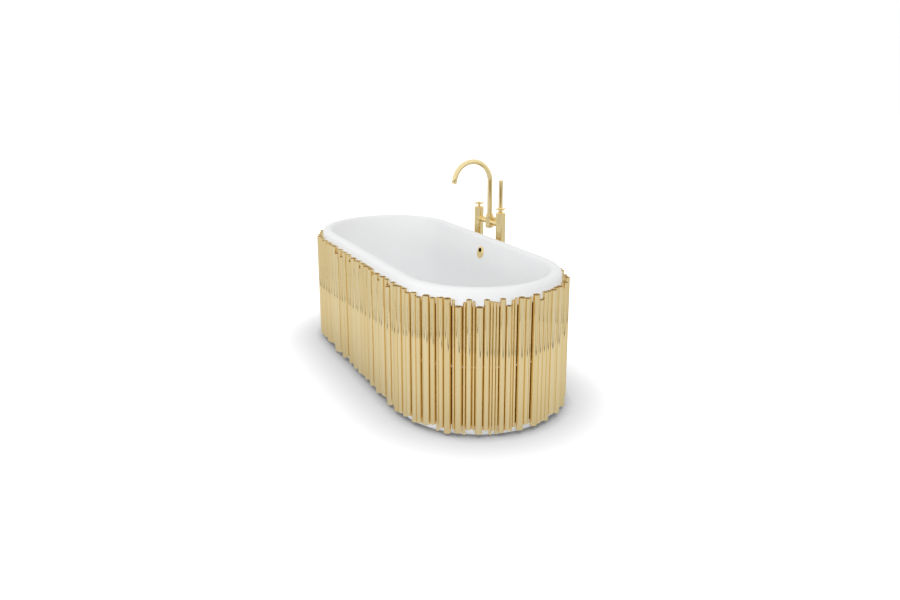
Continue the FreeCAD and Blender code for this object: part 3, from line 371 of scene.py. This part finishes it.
# Tube cladding: drawn brass tubes of three sizes, polished and soldered upright to two bands round the skirt.
# Their ends are staggered, and each tube has taken the polish a little differently.
large, medium, small, tube_wall, tube_ease = 0.030, 0.0235, 0.012, 0.0015, 0.0005
band_and_solder = 0.0032
seat_half_length, seat_half_width = skirt_half_length + band_and_solder, skirt_half_width + band_and_solder
tube_top, tube_foot, stagger, least_gap = 0.577, 0.006, 0.030, 0.0003
tube_steps = 36
# degrees, between a tube's own facets and the first facet of its eased ends
tube_sharp = 10.6
tone_middle, tone_spread, tone_step = 0.5, 0.45, 2.399963
# the width of each tube, and how far its top and its foot stand back, as shares of the stagger
tube_run = [
    (medium, .30, 1.0), (small, .30, .85), (large, .00, .50), (medium, .90, .50), (medium, .00, .60),
    (medium, .05, .35), (large, .05, 1.0), (medium, .00, .80), (large, .05, .45), (small, .50, .10),
    (medium, .60, .70), (small, .20, .00), (large, .15, .30), (medium, .95, .55), (small, .40, .15),
    (large, .05, .80), (small, .30, .00), (medium, .10, .60), (large, .90, .25), (small, .55, .10),
    (medium, .00, .85), (small, .35, .05), (large, .10, .40), (medium, .00, .45), (small, .05, .05),
    (medium, .00, .45), (medium, .40, .85), (small, .20, .05), (medium, .10, .35), (medium, .55, .50),
    (small, .50, .35), (large, .05, .75), (medium, .25, .95), (small, .15, .00), (medium, .05, .75),
    (large, .05, .20), (small, .25, .65), (large, 1.0, .45), (small, .50, .00), (medium, .05, .95),
    (small, .35, .75), (large, 1.0, .45), (medium, .05, .90), (small, .35, .05), (small, .40, .60),
    (small, .50, .10), (medium, .00, .40), (medium, 1.0, .65), (small, .35, .30), (small, .10, .80),
    (large, .05, .45),
]
tube_lit, tube_deep = (0.905, 0.752, 0.445), (0.860, 0.682, 0.355)
inside_lit, inside_deep = (0.90, 0.75, 0.42), (0.84, 0.68, 0.34)
band_shade_pale, band_shade_dark = (0.58, 0.44, 0.20), (0.46, 0.34, 0.14)
brass_edge = (0.96, 0.83, 0.55, 1)


def brass(name, lit, deep, stretch, rough, toned=False, marks=0.02):
    """Polished brass, with the lines of the last polish and a drift of tone."""
    material, tree, shader, spot = new_finish(name)
    shader.inputs["Metallic"].default_value = 1.0
    shader.inputs["Specular Tint"].default_value = brass_edge
    tone = clouded(tree, spot, 5.0)
    if toned:
        own = wire(tree, "ShaderNodeAttribute", attribute_name="tube_tone", attribute_type="GEOMETRY")
        tone = sum_of(tree, "MULTIPLY", sum_of(tree, "ADD", tone, own.outputs["Fac"]), 0.5)
    polish = lined(tree, spot, stretch)
    streaks = sum_of(tree, "MULTIPLY_ADD", polish.outputs["Lines"], 0.9, -0.45)
    vary(tree, shader, "Base Color", sum_of(tree, "ADD", tone, streaks), (0.25, deep), (0.75, lit))
    vary(tree, shader, "Roughness", polish.outputs["Lines"], (0.3, rough * 0.75), (0.7, rough * 1.3))
    dent(tree, shader, polish.outputs["Height"], 0.0002, marks)
    return material


tube_brass = brass("polished_tube_brass", tube_lit, tube_deep, (700.0, 700.0, 3.0), 0.06, toned=True)
raw_brass = brass("drawn_brass_inside", inside_lit, inside_deep, (500.0, 500.0, 5.0), 0.5)


def spun(corners, ease, at, closed=False, steps=64):
    """A shape turned about an upright axis.

    A closed outline makes a ring, and an open one starts and ends on the axis.
    """
    outline = eased(corners, ease, closed)
    inner = outline if closed else outline[1:-1]
    rings = [[(at[0] + x, at[1] + y, z) for x, y in circle(r, steps)] for r, z in inner]
    points, faces = looped(rings, closed)
    if not closed:
        first, last, top = len(points), len(points) + 1, len(points) - steps
        points += [(at[0], at[1], outline[0][1]), (at[0], at[1], outline[-1][1])]
        faces += [(first, (a + 1) % steps, a) for a in range(steps)]
        faces += [(last, top + a, top + (a + 1) % steps) for a in range(steps)]
    return points, faces


def tube(radius, wall, low, high):
    """The outline of a tube's wall, up the outside and down the bore."""
    return [(radius, low), (radius, high), (radius - wall, high), (radius - wall, low)]


def joined(shapes):
    """Several shapes as one."""
    points, faces = [], []
    for more_points, more_faces in shapes:
        faces += [tuple(len(points) + corner for corner in face) for face in more_faces]
        points += more_points
    return points, faces


def round_the_bath(along):
    """The point this far round the bands from the middle of the near end, and the way out from there."""
    straight, bend = 2 * (seat_half_length - seat_half_width), math.pi * seat_half_width
    half_turn, along = divmod((along + bend / 2) % (2 * (straight + bend)), straight + bend)
    side = -1 if half_turn else 1
    if along < bend:
        angle = along / seat_half_width - math.pi / 2
        out = Vector((math.cos(angle), math.sin(angle), 0)) * side
        return Vector((straight / 2 * side, 0, 0)) + out * seat_half_width, out
    return Vector((straight / 2 - (along - bend), seat_half_width, 0)) * side, Vector((0, side, 0))


girth = 4 * (seat_half_length - seat_half_width) + 2 * math.pi * seat_half_width
run_length = sum(size for size, top, foot in tube_run)
runs = int(girth // (run_length + len(tube_run) * least_gap))
gap = (girth / runs - run_length) / len(tube_run)
sets = {size: ([], []) for size in (large, medium, small)}
along = 0.0
for number, (size, top, foot) in enumerate(tube_run * runs):
    radius = size / 2
    along += radius + gap / 2
    seat, out = round_the_bath(along)
    along += radius + gap / 2
    wall = tube(radius, tube_wall, tube_foot + foot * stagger, tube_top - top * stagger)
    upright = spun(wall, tube_ease, seat + out * radius, closed=True, steps=tube_steps)
    shapes, tones = sets[size]
    shapes.append(upright)
    tones += [tone_middle + tone_spread * math.sin(number * tone_step)] * len(upright[0])
# a tube has four eased corners, and its bore lies between the third and the fourth
tube_rings, bore_ring = 4 * len(ease_shares), 3 * len(ease_shares) - 1
for size, node in ((large, "large_tubes"), (medium, "medium_tubes"), (small, "small_tubes")):
    shapes, tones = sets[size]
    whole_set = joined(shapes)
    tubes = add_piece("polished_" + node, whole_set, tube_brass, node, sharp=tube_sharp)
    tubes.data.materials.append(raw_brass)
    # the brass doesn't tint the white shells and the floor
    tubes.visible_diffuse = False
    tubes.data.attributes.new("tube_tone", "FLOAT", "POINT").data.foreach_set("value", tones)
    for face in tubes.data.polygons:
        face.material_index = 1 if face.index // tube_steps % tube_rings == bore_ring else 0
# brass bands coloured far darker than the tubes, painted shade that shows in the gaps between the tubes
bands = brass("band_brass", band_shade_pale, band_shade_dark, (6.0, 6.0, 600.0), 0.3)
dress(bands, "upper_band", "lower_band")

# Drain: a brass flange screwed through the floor into the waste body, and a push plug on a rubber seal.
# The waste body and its pipes are grey moulded plastic.
drain_lit, drain_deep = (0.88, 0.72, 0.38), (0.82, 0.64, 0.30)
rubber_deep, rubber_bloom = (0.018, 0.018, 0.018), (0.045, 0.045, 0.046)
grey_deep, grey_pale = (0.46, 0.47, 0.48), (0.54, 0.55, 0.56)
drain_brass = brass("drain_brass", drain_lit, drain_deep, (300.0, 300.0, 300.0), 0.14)
dress(drain_brass, "drain_flange", "drain_plug")
rubber, tree, shader, spot = new_finish("black_rubber")
bloom = clouded(tree, spot, 90.0)
vary(tree, shader, "Base Color", bloom, (0.3, rubber_deep), (0.8, rubber_bloom))
vary(tree, shader, "Roughness", bloom, (0.3, 0.6), (0.8, 0.8))
dent(tree, shader, bloom, 0.0004, 0.3)
dress(rubber, "plug_seal", "drain_washer", "overflow_washer")
moulded, tree, shader, spot = new_finish("grey_moulded_plastic")
flow = clouded(tree, spot, 30.0)
vary(tree, shader, "Base Color", flow, (0.3, grey_deep), (0.7, grey_pale))
vary(tree, shader, "Roughness", flow, (0.3, 0.42), (0.7, 0.52))
dent(tree, shader, flow, 0.0004, 0.15)
dress(moulded, "waste_body", "tail_pipe", "overflow_elbow", "overflow_pipe")

# Overflow rose: a bevelled brass disc on a threaded tube through the far wall, open in its upper half.
# Turned from bar and polished like the drain.
dress(drain_brass, "overflow_rose")

# Filler legs: two drawn brass tubes on turned floor flanges, each with a turned cap and a water pipe inside.
# Polished all over, the lines of the polish running up the leg.
filler_x, filler_y, leg_spread = -0.172, 0.455, 0.116
leg_radius, leg_wall, leg_foot, leg_high, leg_ease = 0.025, 0.0025, 0.008, 0.711, 0.0004
cap_high, cap_bevel, cap_bore, cap_ease = 0.719, 0.0015, 0.0062, 0.0005
filler_lit, filler_deep = (0.905, 0.760, 0.425), (0.880, 0.720, 0.375)
plain_lit, plain_deep = (0.66, 0.50, 0.24), (0.55, 0.40, 0.18)
filler_brass = brass("polished_filler_brass", filler_lit, filler_deep, (900.0, 900.0, 4.0), 0.13, marks=0.006)
plain_brass = brass("turned_brass", plain_lit, plain_deep, (9.0, 9.0, 700.0), 0.35)
legs = {"left": (filler_x - leg_spread, filler_y), "right": (filler_x + leg_spread, filler_y)}
for side, at in legs.items():
    dress(filler_brass, side + "_floor_flange")
    dress(plain_brass, side + "_supply_pipe", side + "_headwork")
    leg = spun(tube(leg_radius, leg_wall, leg_foot, leg_high), leg_ease, at, closed=True)
    add_piece(side + "_leg_tube", leg, filler_brass, side + "_column", sharp=wall_sharp)
    cap = spun([
        (leg_radius, leg_high), (leg_radius, cap_high - cap_bevel), (leg_radius - cap_bevel, cap_high),
        (cap_bore, cap_high), (cap_bore, leg_high),
    ], cap_ease, at, closed=True)
    add_piece(side + "_leg_cap", cap, filler_brass, side + "_column_cap")

# Cross handles: a turned hub with four round arms on the stem of each valve, a quarter turn from off to full.
# Polished brass, pressed onto the stem.
stem_low, stem_radius, stem_ease = 0.6835, 0.006, 0.0003
hub_low, hub_high, hub_radius, hub_bevel, hub_ease = 0.728, 0.746, 0.009, 0.003, 0.0012
hub_foot_radius, hub_top_radius = 0.0070, 0.0062
arm_high, arm_radius, arm_reach, arm_dome, arm_steps = 0.739, 0.0035, 0.031, 0.0025, 24
# how far out each ring of an arm is, and its radius, from inside the hub to the domed end
arm_stations = [(0.004, 0.0031), (0.0095, 0.0031), (0.018, 0.0033), (0.0285, arm_radius)]
for turn in (0.4, 0.8, 1.2, 1.5):
    arm_stations.append((arm_reach - arm_dome * (1 - math.sin(turn)), arm_radius * math.cos(turn) ** 0.5))
for side, at in legs.items():
    handle = side + "_handle"
    stem = spun([(0, stem_low), (stem_radius, stem_low), (stem_radius, hub_low), (0, hub_low)], stem_ease, at)
    add_piece(side + "_stem", stem, filler_brass, side + "_valve_stem", handle)
    cross = [spun([
        (0, hub_low), (hub_foot_radius, hub_low), (hub_radius, hub_low + hub_bevel),
        (hub_radius, hub_high - hub_bevel), (hub_top_radius, hub_high), (0, hub_high),
    ], hub_ease, at)]
    for arm in range(4):
        way = Matrix.Rotation(arm * math.pi / 2, 4, "Z")
        cross.append(capped([
            [Vector((*at, arm_high)) + way @ Vector((out, y, z)) for y, z in circle(r, arm_steps)]
            for out, r in arm_stations
        ]))
    add_piece(side + "_cross", joined(cross), filler_brass, side + "_cross_handle", handle)

# Bridge and mixer body: a tube from each leg, saddled and nutted on, brings the water to a turned body.
# The body carries the spout above, and the diverter, the hose outlet and the shower arm behind.
bridge_high, bridge_radius, bridge_ease, bridge_steps = 0.654, 0.0135, 0.0006, 48
nut_radius, nut_length, nut_bevel, saddle_gap = 0.017, 0.011, 0.001, 0.0001
body_radius, body_low, body_high, body_bevel, body_ease = 0.0215, 0.621, 0.687, 0.002, 0.0006
socket_radius, socket_low = 0.0132, 0.657
collar_radius, collar_height, collar_bevel = 0.018, 0.010, 0.0008
nut_end = leg_radius + nut_length
mixer_at = (filler_x, filler_y)


def saddled(axis_x, way, radius, across):
    """Where a tube that runs along the bath meets an upright round piece, this far off its middle."""
    return axis_x + way * math.sqrt((radius + saddle_gap) ** 2 - across ** 2)


for side, way in (("left", 1), ("right", -1)):
    leg_x = legs[side][0]
    rings = []
    for reach, r in (
        ("leg", nut_radius), (nut_end - nut_bevel, nut_radius), (nut_end, nut_radius - nut_bevel),
        (nut_end, bridge_radius + bridge_ease), (nut_end + bridge_ease, bridge_radius),
        ("body", bridge_radius),
    ):
        ring = []
        for y, up in circle(r, bridge_steps):
            across = -way * y
            if reach == "leg":
                x = saddled(leg_x, way, leg_radius, across)
            elif reach == "body":
                x = saddled(filler_x, -way, body_radius, across)
            else:
                x = leg_x + way * reach
            ring.append((x, filler_y + across, bridge_high + up))
        rings.append(ring)
    bridge = capped(rings)
    add_piece(side + "_bridge", bridge, filler_brass, side + "_bridge_tube", sharp=40)
mixer = spun([
    (0, body_low), (body_radius - body_bevel, body_low), (body_radius, body_low + body_bevel),
    (body_radius, body_high - body_bevel), (body_radius - body_bevel, body_high),
    (socket_radius, body_high), (socket_radius, socket_low), (0, socket_low),
], body_ease, mixer_at)
add_piece("mixer", mixer, filler_brass, "mixer_body", sharp=wall_sharp)
collar_high = body_high + collar_height
collar = spun([
    (socket_radius, body_high), (collar_radius, body_high), (collar_radius, collar_high - collar_bevel),
    (collar_radius - collar_bevel, collar_high), (socket_radius, collar_high),
], body_ease, mixer_at, closed=True)
add_piece("spout_ring", collar, filler_brass, "spout_collar")
dress(filler_brass, "diverter_knob", "hose_outlet", "holder_arm")

# Gooseneck spout: one drawn tube bent over the bath, its foot turning in the mixer body.
# The end is cut square and holds a dark moulded aerator.
spout_radius, spout_bore, riser_low, riser_steps = 0.013, 0.0105, 0.658, 6
bend_high, bend_radius, bend_turn, bend_steps = 0.876, 0.108, math.radians(168), 60
end_length, mouth_ease, mouth_flat, spout_steps = 0.025, 0.0008, 0.0009, 48
dark_deep, dark_pale = (0.03, 0.03, 0.03), (0.09, 0.085, 0.08)
riser = bend_high - riser_low
# the points of the course, each with its turn from upright
course = [(Vector((0, 0, riser_low + riser * step / riser_steps)), 0.0) for step in range(riser_steps + 1)]
for step in range(1, bend_steps + 1):
    angle = bend_turn * step / bend_steps
    course.append((
        Vector((0, bend_radius * (math.cos(angle) - 1), bend_high + bend_radius * math.sin(angle))), angle,
    ))
end_way = Vector((0, -math.sin(bend_turn), math.cos(bend_turn)))
tip = course[-1][0] + end_way * end_length
course.append((tip - end_way * mouth_ease, bend_turn))


def hoop(middle, angle, radius):
    """A ring of the spout, square to its course."""
    across = Vector((0, math.cos(angle), math.sin(angle)))
    foot = Vector((*mixer_at, 0)) + middle
    return [foot + Vector((x, 0, 0)) + across * y for x, y in circle(radius, spout_steps)]


rings = [hoop(course[0][0], 0.0, spout_bore)]
rings += [hoop(middle, angle, spout_radius) for middle, angle in course]
rings += [
    hoop(tip - end_way * (mouth_ease / 4), bend_turn, spout_radius - mouth_ease / 2),
    hoop(tip, bend_turn, spout_radius - mouth_flat),
    hoop(tip, bend_turn, spout_bore + mouth_ease / 2),
]
rings += [hoop(middle, angle, spout_bore) for middle, angle in course[-1:0:-1]]
add_piece("gooseneck", looped(rings, True), filler_brass, "spout", "spout", sharp=40)
dark, tree, shader, spot = new_finish("dark_nozzle_plastic")
pores = clouded(tree, spot, 400.0)
vary(tree, shader, "Base Color", pores, (0.4, dark_deep), (0.6, dark_pale))
shader.inputs["Roughness"].default_value = 0.5
dent(tree, shader, pores, 0.0004, 0.4)
dress(dark, "aerator")

# Hand shower: a slender brass stick that stands in a ring on an arm behind the right leg.
# Its spray face, a dark moulded strip, is let into the back near the top.
stick_aside, stick_behind = 0.064, 0.030
ring_radius, ring_wall, ring_low, ring_high, ring_ease = 0.017, 0.0055, 0.658, 0.694, 0.0008
inlet_radius, inlet_low, inlet_high = 0.0104, 0.646, ring_low
stick_radius, stick_high, stick_bevel, stick_ease = 0.0112, 0.884, 0.0015, 0.0005
stop_radius, stop_low, stop_high, shoulder_bevel = 0.0135, 0.6943, 0.7023, 0.0008
stick_at = (filler_x + stick_aside, filler_y + stick_behind)
ring = spun(tube(ring_radius, ring_wall, ring_low, ring_high), ring_ease, stick_at, closed=True)
add_piece("cradle_ring", ring, filler_brass, "hand_shower_cradle")
stick = spun([
    (0, inlet_low), (inlet_radius, inlet_low), (inlet_radius, inlet_high),
    (stick_radius, inlet_high + shoulder_bevel), (stick_radius, stop_low), (stop_radius, stop_low),
    (stop_radius, stop_high), (stick_radius, stop_high + shoulder_bevel),
    (stick_radius, stick_high - stick_bevel), (stick_radius - stick_bevel, stick_high), (0, stick_high),
], stick_ease, stick_at)
add_piece("stick", stick, filler_brass, "hand_shower", "hand_shower", sharp=wall_sharp)
dress(dark, "spray_face")

# Studio floor: a seamless pale paper sheet that runs out to white and takes the soft shadow of the bath,
# partly cast by the lamps and partly painted shade near the bath.
# The polished brass mirrors a painted dark edge of the sheet and a greyer floor beyond it, which only
# reflections see.
floor_reach = 30.0
paper_deep, paper_lit = (0.895, 0.895, 0.897), (0.905, 0.905, 0.907)
sheet_half, edge_reach = (1.75, 1.45, 0), 0.1
# the greys and the dark edge of a painted reflection, which only mirrored rays see
sheet_grey, edge_dark, floor_grey = 0.75, 0.09, 0.65
painted_shadow_reach = 0.08
# how the floor's glow is dimmed near the bath, as painted shadow
shadow_half_run, shadow_from, shadow_to = 0.5, 0.39, 0.72
glow_near, glow_far, mirrored_glow = 0.08, 0.5, 0.12


def stage_sheet(name, corners):
    """A flat sheet of the studio."""
    mesh = bpy.data.meshes.new(name)
    mesh.from_pydata(corners, [], [(0, 1, 2, 3)])
    sheet = bpy.data.objects.new(name, mesh)
    bpy.context.scene.collection.objects.link(sheet)
    return sheet


floor = stage_sheet("studio_floor", [
    (-floor_reach, -floor_reach, 0), (floor_reach, -floor_reach, 0),
    (floor_reach, floor_reach, 0), (-floor_reach, floor_reach, 0),
])
paper, tree, shader, spot = new_finish("studio_paper")
fibre = ramp(tree, clouded(tree, spot, 2.0), (0.3, paper_deep), (0.7, paper_lit))
# a contact shadow painted into the paper, darker where the bath is close
near = wire(tree, "ShaderNodeAmbientOcclusion", {"Distance": painted_shadow_reach}, samples=8)
painted_contact_shadow = ramp(tree, near.outputs["AO"], (0.25, 0.12), (0.55, 0.70), (0.85, 1.0))
rays = tree.nodes.new("ShaderNodeLightPath").outputs
mirrored = sum_of(tree, "MAXIMUM", rays["Is Glossy Ray"], rays["Is Transmission Ray"])
# how far past the edge of the sheet, and the painted reflection there: a dark edge and a grey floor that only
# mirrored rays see
folded = vector_of(tree, "ABSOLUTE", spot)
past = vector_of(tree, "SUBTRACT", folded, sheet_half)
past = wire(tree, "ShaderNodeSeparateXYZ", {"Vector": past}).outputs
over_edge = wire(tree, "ShaderNodeMapRange", {
    "Value": sum_of(tree, "MAXIMUM", past["X"], past["Y"]), "From Min": -edge_reach, "From Max": edge_reach,
}).outputs["Result"]
painted_mirrored_room = ramp(tree, over_edge, (0.30, sheet_grey), (0.36, edge_dark), (0.64, edge_dark), (0.70, floor_grey))
ground = wire(tree, "ShaderNodeMix", {"Factor": mirrored}, data_type="RGBA")
tree.links.new(vector_of(tree, "MULTIPLY", fibre, painted_contact_shadow), ground.inputs["A"])
tree.links.new(painted_mirrored_room, ground.inputs["B"])
tree.links.new(ground.outputs["Result"], shader.inputs["Base Color"])
shader.inputs["Roughness"].default_value = 0.9
shader.inputs["Specular IOR Level"].default_value = 0.0
# the paper's glow is dimmed near the bath, a painted shadow round it, and runs out to white away from the
# bath
beside = vector_of(tree, "SUBTRACT", folded, (shadow_half_run, 0, 0))
beside = vector_of(tree, "MAXIMUM", beside, (0, 0, 0))
away = wire(tree, "ShaderNodeVectorMath", {0: beside}, operation="LENGTH").outputs["Value"]
painted_shadow_fade = wire(tree, "ShaderNodeMapRange", {
    "Value": away, "From Min": shadow_from, "From Max": shadow_to, "To Min": glow_near, "To Max": glow_far,
}).outputs["Result"]
glow = sum_of(tree, "MULTIPLY", rays["Is Camera Ray"], painted_shadow_fade)
shader.inputs["Emission Color"].default_value = (1, 1, 1, 1)
tree.links.new(
    sum_of(tree, "MULTIPLY_ADD", mirrored, mirrored_glow, glow), shader.inputs["Emission Strength"],
)
floor.data.materials.append(paper)

# Studio light: a white surround, even to the eye and in the brass, that lights most from overhead.
# Two softboxes on the camera's side light the shapes, and the brass doesn't mirror them.
side_light, overhead_light, seen_light = 0.30, 1.15, 1.0
bath_middle = Vector((0.0, 0.0, 0.4))
world = bpy.data.worlds.new("studio_surround")
bpy.context.scene.world = world
world.use_nodes = True
tree = world.node_tree
tree.nodes.clear()
rays = tree.nodes.new("ShaderNodeLightPath").outputs
seen = sum_of(tree, "MAXIMUM", rays["Is Camera Ray"], rays["Is Glossy Ray"])
seen = sum_of(tree, "MAXIMUM", seen, rays["Is Transmission Ray"])
sky = tree.nodes.new("ShaderNodeTexCoord").outputs["Generated"]
overhead = wire(tree, "ShaderNodeMapRange", {
    "Value": wire(tree, "ShaderNodeSeparateXYZ", {"Vector": sky}).outputs["Z"],
    "To Min": side_light, "To Max": overhead_light,
}).outputs["Result"]
level = wire(tree, "ShaderNodeMapRange", {"Value": seen, "To Min": overhead, "To Max": seen_light})
surround = wire(tree, "ShaderNodeBackground", {"Color": (1, 1, 1, 1), "Strength": level.outputs["Result"]})
end = tree.nodes.new("ShaderNodeOutputWorld")
tree.links.new(surround.outputs["Background"], end.inputs["Surface"])


def softbox(name, place, width, height, energy):
    """A rectangular lamp aimed at the bath, out of the camera's sight."""
    lamp = bpy.data.lights.new(name, "AREA")
    lamp.shape = "RECTANGLE"
    lamp.size, lamp.size_y = width, height
    lamp.energy = energy
    box = bpy.data.objects.new(name, lamp)
    box.location = place
    box.rotation_mode = "QUATERNION"
    box.rotation_quaternion = (bath_middle - Vector(place)).to_track_quat("-Z", "Y")
    box.visible_camera = box.visible_glossy = False
    bpy.context.scene.collection.objects.link(box)


softbox("front_softbox", (8.4, -2.8, 2.4), width=5.0, height=3.0, energy=95.0)
softbox("side_softbox", (1.6, -6.2, 1.4), width=4.0, height=1.6, energy=68.0)

# Studio flag: a long brown sheet that hangs low across the studio before the bath, out of the camera's sight.
# It is seen only in reflections and casts no shadow, a painted reflection: the spout and the hand shower
# mirror it as the dark line in their polish.
flag_middle, flag_way = Vector((1.98, -0.81, 0)), Vector((0.507, 0.862, 0))
flag_half, flag_low, flag_high = 1.9, 0.36, 0.82
cloth_deep, cloth_pale = (0.31, 0.195, 0.085), (0.38, 0.25, 0.12)
one_end, other_end = flag_middle - flag_way * flag_half, flag_middle + flag_way * flag_half
flag = stage_sheet("brown_flag", [
    (one_end.x, one_end.y, flag_low), (other_end.x, other_end.y, flag_low),
    (other_end.x, other_end.y, flag_high), (one_end.x, one_end.y, flag_high),
])
flag.visible_camera = flag.visible_diffuse = flag.visible_shadow = False
cloth, tree, shader, spot = new_finish("brown_flag_cloth")
vary(tree, shader, "Base Color", clouded(tree, spot, 200.0), (0.3, cloth_deep), (0.7, cloth_pale))
shader.inputs["Roughness"].default_value = 0.95
flag.data.materials.append(cloth)

# Camera: it stands where the photograph was taken from.
# Its axis lies above the middle of the frame, as the photograph was cropped.
photo_place = (3.0753, -1.4579, 1.3784)
photo_around, photo_above = math.radians(62.781), math.radians(12.713)
lens = bpy.data.cameras.new("photo_camera")
lens.lens, lens.sensor_width = 28.036, 36.0
lens.shift_y = -0.0628
lens.clip_end = 100.0
camera = bpy.data.objects.new("photo_camera", lens)
back = Vector((
    math.sin(photo_around) * math.cos(photo_above), -math.cos(photo_around) * math.cos(photo_above),
    math.sin(photo_above),
))
camera.location = photo_place
camera.rotation_mode = "QUATERNION"
camera.rotation_quaternion = (-back).to_track_quat("-Z", "Y")
bpy.context.scene.collection.objects.link(camera)
bpy.context.scene.camera = camera
bpy.context.scene.view_settings.view_transform = "Standard"
bpy.context.scene.cycles.max_bounces = 20
bpy.context.scene.cycles.glossy_bounces = 16
